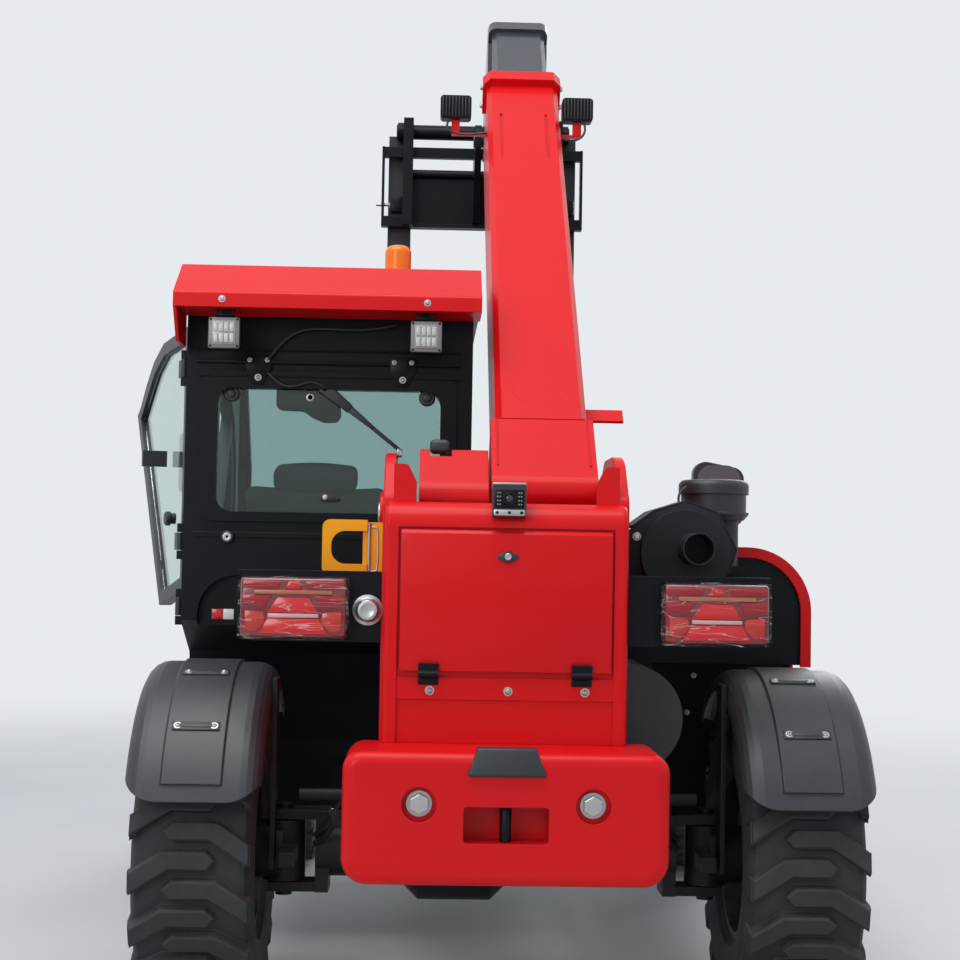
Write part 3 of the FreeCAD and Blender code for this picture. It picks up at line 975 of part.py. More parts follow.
node("cab_frame", cab_frame())
node("cab_glass", cab_glass())
node("cab_roof", cab_roof())
node("seat", seat())
node("console", console())


def door_frame(name, corners, low, high):
    """One leaf with its window cut, in the frame of the door's hinge."""
    moved = [("(%s) - door_hinge_y" % a, b) for a, b in corners]
    return prism(name, "side", moved, low, high)


DOOR_OUT = "cab_left - door_hinge_x"


def door_hinges(name, heights):
    """The leaf's halves of its hinges: a knuckle, a web clear of the pillar and a strap on the leaf."""
    pieces = []
    for k, height in enumerate(heights):
        span = (height, height + " + hinge_tall")
        pieces += [rod("%sKnuckle%d" % (name, k), "z", ("0", "0", height), "hinge_knuckle", "hinge_tall"),
                   block("%sWeb%d" % (name, k), ("-6", DOOR_OUT + " - door_gap - 1"), ("0", "20"), span),
                   block("%sStrap%d" % (name, k), ("-6", DOOR_OUT + " + 6"), ("14", "50"), span)]
    return pieces


def upper_door():
    leaf = door_frame("UpperLeaf", UPPER_DOOR, DOOR_OUT, "door_thick")
    hole = door_frame("UpperHole", [
        ("door_rear + door_frame", "1120"), ("728", "1070"), ("1148", "1628"), ("1040", "1692"),
        ("922", "1756"), ("772", "1800"), ("door_rear + door_frame", "1810")], DOOR_OUT + " - 5", "door_thick + 10")
    hinges = door_hinges("Upper", UPPER_HINGES)
    handle = block("OuterHandle", ("-60", DOOR_OUT + " + 2"), ("300", "318"), ("1452", "1500"))
    return joined("UpperDoor", [cut("UpperLeafCut", leaf, [hole])] + hinges + [handle])


def lower_door():
    leaf = door_frame("LowerLeaf", LOWER_DOOR, DOOR_OUT, "door_thick")
    hinges = door_hinges("Lower", LOWER_HINGES)
    hole = door_frame("LowerHole", [
        ("820", "1050"), ("1285", "1050"), ("1262", "1490"), ("1215", "1575")], DOOR_OUT + " - 5", "door_thick + 10")
    return joined("LowerDoor", [cut("LowerLeafCut", leaf, [hole])] + hinges)


def upper_glass():
    return door_frame("UpperGlass", [
        ("door_rear + door_frame + 1", "1121"), ("727", "1071"), ("1146", "1628"), ("1039", "1691"),
        ("921", "1755"), ("771", "1799"), ("door_rear + door_frame + 1", "1809")], DOOR_OUT + " + 12", "glass")


def lower_glass():
    return door_frame("LowerGlass", [
        ("822", "1051"), ("1284", "1051"), ("1261", "1490"), ("1215", "1573")], DOOR_OUT + " + 12", "glass")


node("upper_door", upper_door(), "door")
node("upper_door_glass", upper_glass(), "door")
closed = ("door_hinge_x", "door_hinge_y", "0")
node("lower_door", lower_door(), shift=closed)
node("lower_door_glass", lower_glass(), shift=closed)


# Engine side
HOOD_OUTER = [("hood_in", "hood_top - hood_drop"), ("hood_crest", "hood_top"), ("hood_out", "hood_top")]
HOOD_CORNER = ("hood_curve", [2])


def hood_ring(name, low, depth, start, length):
    """A bent band that follows the hood's outer profile down to a height."""
    inner = [("hood_out - " + depth, low), ("hood_out - " + depth, "hood_top - " + depth),
             ("hood_crest", "hood_top - " + depth), ("hood_in", "hood_top - hood_drop - " + depth)]
    return prism(name, "front", HOOD_OUTER + [("hood_out", low)] + inner, start, length,
                 rounds=[HOOD_CORNER, ("hood_curve - " + depth, [5])])


def engine_hood():
    skin = hood_ring("HoodSkin", "hood_low", "hood_wall", "hood_rear", "hood_front - hood_rear")
    flange = hood_ring("HoodFlange", "hood_arch_z", "hood_flange", "hood_rear", "hood_wall")
    front = prism("HoodFront", "front", HOOD_OUTER + [
        ("hood_out", "hood_low"), ("hood_in + 370", "hood_low"), ("hood_in", "hood_top - 60")],
        "hood_front - hood_wall", "hood_wall", rounds=[HOOD_CORNER])
    arch = block("HoodArch", ("hood_in", "hood_out + 10"), ("hood_rear - 10", "hood_arch_y"),
                 ("hood_low - 10", "hood_arch_z"))
    hinge = rod("HoodHinge", "y", ("hood_in", "hood_rear + 80", "hood_hinge_z"), "hinge_knuckle",
                "hood_front - hood_rear - 160")
    strap = block("HoodStrap", ("hood_in - 4", "hood_in + 30"), ("hood_rear + 80", "hood_front - 80"),
                  ("hood_top - 25", "hood_hinge_z"))
    return cut("EngineHood", joined("HoodSolid", [skin, flange, front, hinge, strap]), [arch])


def bent_sheet(name, line, thick, start, length):
    """A sheet of even thickness bent along a line of places, seen from behind."""
    inner = []
    for k, (x, z) in enumerate(line):
        (xa, za), (xb, zb) = line[max(k - 1, 0)], line[min(k + 1, len(line) - 1)]
        steps = [(x - xa, z - za), (xb - x, zb - z)]
        ways = [(dz / math.hypot(dx, dz), -dx / math.hypot(dx, dz)) for dx, dz in steps if dx or dz]
        (ax, az), (bx, bz) = ways[0], ways[-1]
        share = 1 / (1 + ax * bx + az * bz)
        inner.append(("%s + %.4f * %s" % (x, (ax + bx) * share, thick), "%s + %.4f * %s" % (z, (az + bz) * share, thick)))
    return prism(name, "front", [(str(x), str(z)) for x, z in line] + inner[::-1], start, length)


def silencer():
    centre = ("silencer_x + outlet_x", "silencer_z + outlet_z")
    drum = rod("SilencerDrum", "y", ("silencer_x", "silencer_rear", "silencer_z"), "silencer_radius", "silencer_long")
    outlet = rod("Outlet", "y", (centre[0], "silencer_rear - outlet_long", centre[1]), "outlet_radius", "outlet_long + 5")
    bore = rod("OutletBore", "y", (centre[0], "silencer_rear - outlet_long - 5", centre[1]),
               "outlet_radius - outlet_wall", "outlet_long")
    foot = block("SilencerFoot", ("plate_out", "silencer_x - 60"), ("20", "60"), ("silencer_z - 30", "silencer_z + 30"))
    shield = bent_sheet("HeatShield", [(342, 1287), (395, 1326), (482, 1354), (568, 1323), (618, 1227), (600, 1168)],
                        "shield_thick", "shield_rear", "shield_long")
    stays = [block("ShieldStay%d" % k, x_span, ("shield_rear + 160", "shield_rear + 180"), z_span)
             for k, (x_span, z_span) in enumerate((
                 (("plate_out", "375"), ("1280", "1292")), (("silencer_x - 8", "silencer_x + 8"), ("silencer_z + 100", "1350"))))]
    return cut("Silencer", joined("SilencerSolid", [drum, outlet, foot, shield] + stays), [bore])


def stood_up(body, place):
    """A turned body stood upright, its own zero at a place."""
    stood = gathered(body.Name + "Stood", [body])
    stood.Placement = FreeCAD.Placement(V(0, 0, 0), FreeCAD.Rotation(V(0, 1, 0), -90))
    for letter, formula in zip("xyz", place):
        bind(stood, "Placement.Base." + letter, formula)
    return stood


def pre_cleaner():
    bowl = turned("CleanerBowl", [
        ("0", "0"), ("0", "cleaner_radius - 2 * cleaner_step"), ("16", "cleaner_radius"), ("22", "cleaner_radius"),
        ("22", "cleaner_radius - cleaner_step"),
        ("cleaner_high - cleaner_low - cleaner_lid", "cleaner_radius - cleaner_step"),
        ("cleaner_high - cleaner_low - cleaner_lid", "cleaner_radius"),
        ("cleaner_high - cleaner_low", "cleaner_radius"), ("cleaner_high - cleaner_low", "0")])
    top = SIZES["cleaner_high"] - SIZES["cleaner_low"]
    softened(bowl, "CleanerLid", "cleaner_round",
             lambda middle, way: abs(middle.x - top) < 0.1 and math.hypot(middle.y, middle.z) > 10)
    stem = rod("CleanerStem", "z", ("stem_x", "stem_y", "shelf_z + 20"), "stem_radius", "cleaner_low - shelf_z")
    return joined("PreCleaner", [stood_up(bowl, ("cleaner_x", "cleaner_y", "cleaner_low")), stem])


node("engine_hood", engine_hood())
node("engine_block", gathered("Engine", [block("EngineBlock", ("engine_in", "engine_out"),
                                                 ("engine_rear", "engine_front"), ("engine_low", "engine_high"))]))
node("silencer", silencer())
node("pre_cleaner", pre_cleaner())


# Lamps and small pieces
def tail_lamps():
    def lamp(name):
        return prism(name, "front", [
            ("tail_x - tail_half", "tail_z - tail_tall"), ("tail_x + tail_half", "tail_z - tail_tall"),
            ("tail_x + tail_half", "tail_z + tail_tall"), ("tail_x - tail_half", "tail_z + tail_tall")],
            "tail_rear", "bracket_y - tail_rear", rounds=[("lamp_round", [0, 1, 2, 3])])
    return gathered("TailLamps", pair("TailLamp", lamp))


def cab_lamps():
    lamps = []
    for k, middle in enumerate(("cab_left + 128", "cab_right - 135")):
        lamps.append(prism("CabLamp%d" % k, "front", [
            (middle + " - cab_lamp_half", "cab_lamp_z - cab_lamp_half"),
            (middle + " + cab_lamp_half", "cab_lamp_z - cab_lamp_half"),
            (middle + " + cab_lamp_half", "cab_lamp_z + cab_lamp_half"),
            (middle + " - cab_lamp_half", "cab_lamp_z + cab_lamp_half")],
            "cab_lamp_y", "cab_lamp_deep", rounds=[("lamp_round", [0, 1, 2, 3])]))
        lamps.append(block("CabLampStay%d" % k, (middle + " - 12", middle + " + 12"), ("cab_lamp_y + 30", "cab_lamp_y + 47"),
                           ("cab_lamp_z + cab_lamp_half - 4", "roof_lip")))
    return joined("CabLamps", lamps)


def boom_lamps():
    """Two lamps beside the boom, level in the raised pose of the photo."""
    lamps = []
    for side, low in (("Left", "boom_lamp_left"), ("Right", "boom_lamp_right")):
        high = low + " + boom_lamp_wide"
        lamps.append(prism("BoomLamp" + side, "front", [
            (low, "boom_lamp_z - boom_lamp_tall / 2"), (high, "boom_lamp_z - boom_lamp_tall / 2"),
            (high, "boom_lamp_z + boom_lamp_tall / 2"), (low, "boom_lamp_z + boom_lamp_tall / 2")],
            "boom_lamp_y", "boom_lamp_deep", rounds=[("lamp_round", [0, 1, 2, 3])]))
    return gathered("BoomLamps", lamps)


def lamp_stays():
    """Bent straps from the boom's sides to the undersides of its lamps."""
    pieces = []
    for side, wall, low in (("Left", "boom_x - boom_half", "boom_lamp_left"),
                            ("Right", "boom_x + boom_half", "boom_lamp_right")):
        middle, span = low + " + boom_lamp_wide / 2", ("boom_lamp_y + 14", "boom_lamp_y + 46")
        reach = (middle + " - 14", wall) if side == "Left" else (wall, middle + " + 14")
        pieces += [block("LampStrap" + side, reach, span, ("boom_lamp_z - 90", "boom_lamp_z - 84")),
                   block("LampPost" + side, (middle + " - 14", middle + " + 14"), span,
                         ("boom_lamp_z - 85", "boom_lamp_z - boom_lamp_tall / 2"))]
    return joined("LampStays", pieces)


def mirrors():
    beam = block("MirrorBeam", ("plate_out", "mirror_x + mirror_post"),
                 ("mirror_beam_y - mirror_post", "mirror_beam_y + mirror_post"),
                 ("mirror_beam_z - mirror_post", "mirror_beam_z + mirror_post"))
    post = rod("MirrorPost", "z", ("mirror_x", "mirror_beam_y", "mirror_beam_z"), "mirror_post - 2",
               "mirror_z - mirror_beam_z")
    head = prism("MirrorHead", "front", [
        ("mirror_x - mirror_half", "mirror_z - mirror_tall"), ("mirror_x + mirror_half", "mirror_z - mirror_tall"),
        ("mirror_x + mirror_half", "mirror_z + mirror_tall - 34"), ("mirror_x - mirror_half", "mirror_z + mirror_tall")],
        "mirror_y - mirror_deep", "mirror_deep", rounds=[("mirror_round", [0, 1, 2, 3])])
    return joined("MirrorRight", [beam, post, head])


def left_mirror():
    arm = rod("LeftMirrorArm", "x", ("left_mirror_x", "cab_apex_y - 60", "cab_apex_z"), "mirror_post - 4",
              "cab_left - left_mirror_x")
    reach = rod("LeftMirrorReach", "y", ("left_mirror_x", "cab_apex_y - 60", "cab_apex_z"), "mirror_post - 4", "60")
    head = prism("LeftMirrorHead", "front", [
        ("left_mirror_x - 75", "cab_apex_z - 100"), ("left_mirror_x + 75", "cab_apex_z - 100"),
        ("left_mirror_x + 75", "cab_apex_z + 130"), ("left_mirror_x - 75", "cab_apex_z + 130")],
        "cab_apex_y", "45", rounds=[("30", [0, 1, 2, 3])])
    return joined("MirrorLeft", [arm, reach, head])


def yellow_loop():
    plate = prism("LoopPlate", "front", [
        ("loop_left", "loop_low"), ("loop_right", "loop_low"), ("loop_right", "loop_low + loop_bar"),
        ("loop_left + loop_side", "loop_low + loop_bar"), ("loop_left + loop_side", "loop_high - loop_bar"),
        ("loop_right", "loop_high - loop_bar"), ("loop_right", "loop_high"), ("loop_left", "loop_high")],
        "loop_y", "loop_thick", rounds=[("20", [0, 7]), ("36", [3, 4])])
    tab = block("LoopTab", ("loop_right - 12", "-plate_out"), ("loop_y + loop_thick - 2", "loop_y + loop_thick + 8"),
                ("loop_low + 6", "loop_high - 6"))
    return joined("YellowLoop", [plate, tab])


def tank_and_step():
    tank = prism("Tank", "side", [
        ("790", "tank_low"), ("1270", "tank_low"), ("1270", "frame_top - 45"), ("790", "frame_top - 45")],
        "tank_out", "tank_in - tank_out", rounds=[("30", [0, 1])])
    step = block("StepPlate", ("cab_left - 8", "tank_out - 50"), ("790", "1270"), ("step_z", "step_z + 25"))
    link = block("StepLink", ("tank_out - 60", "tank_out + 10"), ("820", "1240"), ("step_z + 5", "step_z + 60"))
    return joined("TankAndStep", [tank, step, link])


def beacon():
    lamp = turned("BeaconShape", [
        ("0", "0"), ("0", "beacon_radius"), ("beacon_tall", "beacon_radius"), ("beacon_tall", "0")])
    softened(lamp, "Beacon", "beacon_dome", lambda middle, way: abs(middle.x - SIZES["beacon_tall"]) < 0.1
             and math.hypot(middle.y, middle.z) > 10)
    return gathered("Beacon", [stood_up(lamp, ("beacon_x", "beacon_y", "roof_peak - roof_fall * beacon_share"))])


def rear_camera():
    body = prism("RearCamera", "side", [
        ("housing_rear - camera_out", "camera_z - camera_half"), ("housing_rear - camera_out", "camera_z + camera_half - 4"),
        ("housing_rear - camera_out + 12", "camera_z + camera_half"), ("housing_rear + camera_deep", "camera_z + camera_half"),
        ("housing_rear + camera_deep", "camera_z - camera_half")], "3 - camera_half", "2 * camera_half")
    seat_y = "housing_rear + housing_round"
    roll = rod("CameraSeat", "x", ("-2 * camera_half", seat_y, "housing_top - housing_round"),
               "housing_round", "4 * camera_half")
    return cut("RearCameraSeated", body, [roll])


node("tail_lamps", tail_lamps())
node("cab_lamps", cab_lamps())
node("boom_lamps", boom_lamps())
node("lamp_stays", lamp_stays())
node("mirror_right", mirrors())
node("mirror_left", left_mirror())
node("yellow_loop", yellow_loop())
node("tank_and_step", tank_and_step())
node("beacon", beacon())
node("rear_camera", rear_camera())

doc.recompute()
faults = [item.Name for item in doc.Objects if "Invalid" in item.State or "Error" in item.State]
for item in NODES:
    if item.Shape.isNull() or not item.Shape.isValid() or not item.Shape.Solids:
        faults.append(item.Label)
if faults:
    raise RuntimeError("these pieces failed: " + ", ".join(faults))
os.makedirs("parts", exist_ok=True)
for item in NODES:
    item.Shape.exportStep("parts/%s.step" % item.Label)
whole = FreeCAD.BoundBox()
for item in NODES:
    whole.add(item.Shape.BoundBox)
print("nodes", len(NODES), "box", [round(value, 1) for value in (
    whole.XMin, whole.XMax, whole.YMin, whole.YMax, whole.ZMin, whole.ZMax)])
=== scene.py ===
# Compact telehandler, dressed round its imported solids. Everything is in metres, in the frame of the row.
import json
import math
from contextlib import contextmanager

import bmesh
import bpy
from mathutils import Euler, Matrix, Vector


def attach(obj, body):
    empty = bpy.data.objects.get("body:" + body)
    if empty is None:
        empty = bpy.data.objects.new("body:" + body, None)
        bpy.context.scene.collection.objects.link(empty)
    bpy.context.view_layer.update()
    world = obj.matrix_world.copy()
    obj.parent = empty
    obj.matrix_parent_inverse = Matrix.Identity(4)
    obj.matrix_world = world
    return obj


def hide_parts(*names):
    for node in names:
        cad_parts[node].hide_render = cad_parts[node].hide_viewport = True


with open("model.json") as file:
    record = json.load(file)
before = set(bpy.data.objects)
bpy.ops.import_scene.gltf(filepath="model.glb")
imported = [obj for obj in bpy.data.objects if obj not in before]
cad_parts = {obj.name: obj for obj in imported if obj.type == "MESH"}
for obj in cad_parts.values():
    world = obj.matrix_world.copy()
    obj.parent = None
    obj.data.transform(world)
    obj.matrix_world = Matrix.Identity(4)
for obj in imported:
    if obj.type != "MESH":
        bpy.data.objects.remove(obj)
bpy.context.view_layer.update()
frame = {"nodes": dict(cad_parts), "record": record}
NODES = frame["nodes"]
bpy.context.scene.view_settings.view_transform = "Standard"

# The machine's own zero, on the ground under the middle of the rear axle, and its sizes in millimetres
MACHINE = Vector((0.1091, -1.535281, 0.0))
WHEEL_X, WHEELBASE, AXLE_HEIGHT = 762, 2300, 415
TAIL_LAMP_X, TAIL_LAMP_Z, CAB_LAMP_Z = 522, 1063, 1802
DOOR_HINGE_X, BOOM_X, PIN_Y, PIN_Z = 188, 104, -50, 1300
REARWARD, UPWARD = (0, -1, 0), (0, 0, 1)
BOOM_ANGLE = math.radians(41.9)

# The photographer's eye in the machine's frame in metres, and how the camera is turned in degrees
EYE = Vector((-0.193, -4.825, 1.2))
TILT, YAW, ROLL = 92.39, -1.6, 1.0


# Camera and light
def set_camera():
    """Stands at the photographer's eye, 1.2 m up and 4.8 m behind the rear axle, rolled one degree."""
    camera_data = bpy.data.cameras.new("photographer")
    camera_data.sensor_width = 36.0
    camera_data.lens = 67.5
    camera = bpy.data.objects.new("photographer", camera_data)
    bpy.context.scene.collection.objects.link(camera)
    turn = Euler((math.radians(TILT), 0.0, math.radians(YAW))).to_matrix()
    camera.matrix_world = (Matrix.Translation(MACHINE + EYE)
                           @ (turn @ Matrix.Rotation(math.radians(ROLL), 3, "Z")).to_4x4())
    bpy.context.scene.camera = camera


def soft_lamp(name, place, target, size, power):
    """A round area lamp that looks at a target; its size is in metres and its power in watts."""
    lamp_data = bpy.data.lights.new(name, "AREA")
    lamp_data.shape = "DISK"
    lamp_data.size = size
    lamp_data.energy = power
    lamp = bpy.data.objects.new(name, lamp_data)
    bpy.context.scene.collection.objects.link(lamp)
    lamp.location = place
    lamp.rotation_euler = (Vector(target) - Vector(place)).to_track_quat("-Z", "Y").to_euler()


class Wiring:
    """A node tree being wired: add() makes a node, sets it up and fills or links its inputs."""

    def __init__(self, tree):
        self.tree = tree

    def add(self, kind, settings=(), **inputs):
        shader = self.tree.nodes.new("ShaderNode" + kind)
        for key, value in dict(settings).items():
            setattr(shader, key, value)
        for key, value in inputs.items():
            if key.startswith("slot"):
                self.feed(shader.inputs[int(key[4:])], value)
            else:
                self.feed(shader.inputs[key.replace("_", " ")], value)
        return shader

    def feed(self, socket, value):
        if isinstance(value, bpy.types.NodeSocket):
            self.tree.links.new(value, socket)
        else:
            socket.default_value = value

    def sum(self, operation, first, second=0.0, third=0.0, clamp=False):
        """One Math node's result."""
        settings = dict(operation=operation, use_clamp=clamp)
        return self.add("Math", settings, slot0=first, slot1=second, slot2=third).outputs[0]

    def mixed(self, share, first, second):
        """Two colours mixed by a share."""
        mix = self.add("Mix", dict(data_type="RGBA"))
        for key, value in zip((0, 6, 7), (share, first, second)):
            self.feed(mix.inputs[key], value)
        return mix.outputs[2]


def new_group(name, inputs, outputs):
    """A shader node group with its named sockets, its wiring, what comes in and where it goes out."""
    group = bpy.data.node_groups.new(name, "ShaderNodeTree")
    for label, kind, value in inputs:
        socket = group.interface.new_socket(label, in_out="INPUT", socket_type="NodeSocket" + kind)
        socket.default_value = value
    for label, kind in outputs:
        group.interface.new_socket(label, in_out="OUTPUT", socket_type="NodeSocket" + kind)
    given, result = group.nodes.new("NodeGroupInput"), group.nodes.new("NodeGroupOutput")
    return group, Wiring(group), given.outputs, result.inputs


def set_studio():
    """A pale world that the camera and the glass see near white, with softer light on the machine."""
    world = bpy.data.worlds.new("studio")
    bpy.context.scene.world = world
    world.use_nodes = True
    wiring = Wiring(world.node_tree)
    world.node_tree.nodes.clear()
    path = wiring.add("LightPath").outputs
    seen = wiring.sum("MAXIMUM", path["Is Camera Ray"], path["Is Transmission Ray"])
    seen = wiring.sum("MAXIMUM", seen, path["Is Glossy Ray"])
    glow = wiring.add("Background", Color=(0.88, 0.93, 1.0, 1.0), Strength=0.62)
    backdrop = wiring.add("Background", Color=(0.80, 0.83, 0.86, 1.0), Strength=1.0)
    mix = wiring.add("MixShader", slot0=seen, slot1=glow.outputs[0], slot2=backdrop.outputs[0])
    wiring.add("OutputWorld", Surface=mix.outputs[0])
    soft_lamp("sky_panel", (-1.5, -3.0, 7.5), (0.0, -0.6, 1.0), 6.0, 365.0)
    soft_lamp("rear_panel", (-3.5, -7.5, 3.2), (0.0, -1.5, 1.0), 3.0, 90.0)
    soft_lamp("front_panel", (3.5, 7.0, 5.0), (0.0, 1.0, 1.2), 4.0, 160.0)


# Shader groups that several finishes share
def coated_surface_group():
    """Paint, plastic or castings: mottled colour, fine grain, edges worn and lightened as a painted
    highlight, and settled dust.
    """
    group, wiring, given, result = new_group("coated_surface", [
        ("Colour", "Color", (0.5, 0.5, 0.5, 1.0)), ("Roughness", "Float", 0.4), ("Mottle", "Float", 0.1),
        ("Grain Scale", "Float", 600.0), ("Grain Depth", "Float", 0.1), ("Edge Radius", "Float", 0.003),
        ("Edge Wear", "Float", 0.1), ("Dust", "Float", 0.1)],
        [("Colour", "Color"), ("Roughness", "Float"), ("Normal", "Vector")])
    place = wiring.add("TexCoord").outputs["Object"]
    geometry = wiring.add("NewGeometry").outputs
    patches = wiring.add("TexNoise", Vector=place, Scale=3.0, Detail=5.0, Roughness=0.6).outputs[0]
    grain = wiring.add("TexNoise", Vector=place, Scale=given["Grain Scale"], Detail=3.0,
        Roughness=0.55).outputs[0]
    smudge = wiring.add("TexNoise", Vector=place, Scale=17.0, Detail=6.0, Roughness=0.7).outputs[0]
    soft = wiring.add("Bevel", dict(samples=4), Radius=given["Edge Radius"]).outputs[0]
    bump = wiring.add("Bump", Strength=given["Grain Depth"], Distance=0.0012, Height=grain, Normal=soft)
    # Where the rounded and the true normal part, there is an edge, which is lightened for wear and as a
    # painted highlight
    turned = wiring.add("VectorMath", dict(operation="DOT_PRODUCT"), slot0=geometry["Normal"],
        slot1=soft).outputs[1]
    edge = wiring.sum("MULTIPLY", wiring.sum("SUBTRACT", 1.0, turned), 9.0, clamp=True)
    edge = wiring.sum("MULTIPLY", edge, wiring.sum("MULTIPLY", smudge, given["Edge Wear"]))
    heights = wiring.add("SeparateXYZ", Vector=geometry["Position"]).outputs["Z"]
    low = wiring.add("MapRange", slot0=heights, slot1=1.0, slot2=0.1, slot3=0.25, slot4=1.0).outputs[0]
    upward = wiring.add("SeparateXYZ", Vector=geometry["Normal"]).outputs["Z"]
    lying = wiring.sum("MULTIPLY_ADD", upward, 0.5, 0.4, clamp=True)
    settled = wiring.sum("MULTIPLY", wiring.sum("MULTIPLY", lying, low), wiring.sum("SUBTRACT", smudge, 0.25,
        clamp=True))
    dust = wiring.sum("MULTIPLY", settled, given["Dust"], clamp=True)
    shade = wiring.sum("MULTIPLY", patches, given["Mottle"])
    colour = wiring.mixed(shade, given["Colour"], (0.01, 0.01, 0.012, 1.0))
    # Paler edges: partly worn paint, partly a painted highlight along every edge
    colour = wiring.mixed(edge, colour, (0.62, 0.61, 0.60, 1.0))
    colour = wiring.mixed(dust, colour, (0.34, 0.32, 0.29, 1.0))
    wiring.feed(result["Colour"], colour)
    rough = wiring.sum("MULTIPLY_ADD", wiring.sum("SUBTRACT", patches, 0.5), 0.16, given["Roughness"])
    wiring.feed(result["Roughness"], wiring.sum("MULTIPLY_ADD", dust, 0.5, rough, clamp=True))
    wiring.feed(result["Normal"], bump.outputs[0])
    return group


def new_material(name):
    """An empty material, and the wiring of its node tree."""
    material = bpy.data.materials.new(name)
    material.use_nodes = True
    material.node_tree.nodes.clear()
    return material, Wiring(material.node_tree)


def material_of(name, colour, metallic, coat, specular, **facts):
    """A material whose colour, roughness and normal come from the coated surface group."""
    material, wiring = new_material(name)
    surface = wiring.add("Group", dict(node_tree=COATED), Colour=(*colour, 1.0))
    for label, value in facts.items():
        wiring.feed(surface.inputs[label.replace("_", " ").title()], value)
    shader = wiring.add("BsdfPrincipled", Metallic=metallic, Base_Color=surface.outputs["Colour"],
                        Roughness=surface.outputs["Roughness"], Normal=surface.outputs["Normal"],
                        Coat_Weight=coat, Coat_Roughness=0.05, Specular_IOR_Level=specular)
    wiring.add("OutputMaterial", Surface=shader.outputs[0])
    return material


def glass_of(name, colour, roughness=0.0):
    """Clear or tinted glass and lamp lenses, with faint streaks in the gloss."""
    material, wiring = new_material(name)
    place = wiring.add("TexCoord").outputs["Object"]
    streaks = wiring.add("TexNoise", Vector=place, Scale=6.0, Detail=4.0, Roughness=0.6).outputs[0]
    rough = wiring.sum("MULTIPLY_ADD", streaks, 0.03, roughness)
    shader = wiring.add("BsdfPrincipled", Base_Color=colour, Roughness=rough, IOR=1.45,
        Transmission_Weight=1.0)
    wiring.add("OutputMaterial", Surface=shader.outputs[0])
    return material


def film_of(name):
    """Thin clear film that shows only in its gloss and its whitened creases."""
    material, wiring = new_material(name)
    place = wiring.add("TexCoord").outputs["Object"]
    stretched = wiring.add("Mapping", Vector=place, Scale=(0.28, 1.0, 1.9), Rotation=(0.0, 0.30,
        0.0)).outputs[0]
    folds = wiring.add("TexNoise", Vector=stretched, Scale=19.0, Detail=2.5, Roughness=0.5,
        Distortion=0.35).outputs[0]
    away = wiring.sum("ABSOLUTE", wiring.sum("SUBTRACT", folds, 0.5))
    crease = wiring.add("MapRange", slot0=away, slot1=0.0, slot2=0.0075, slot3=1.0, slot4=0.0).outputs[0]
    bump = wiring.add("Bump", Strength=0.7, Distance=0.003, Height=folds)
    alpha = wiring.sum("MULTIPLY_ADD", crease, 0.36, 0.004)
    shader = wiring.add("BsdfPrincipled", Base_Color=(0.88, 0.88, 0.90, 1.0), Roughness=0.12, Alpha=alpha,
                        Normal=bump.outputs[0])
    wiring.add("OutputMaterial", Surface=shader.outputs[0])
    return material


set_camera()
set_studio()
COATED = coated_surface_group()

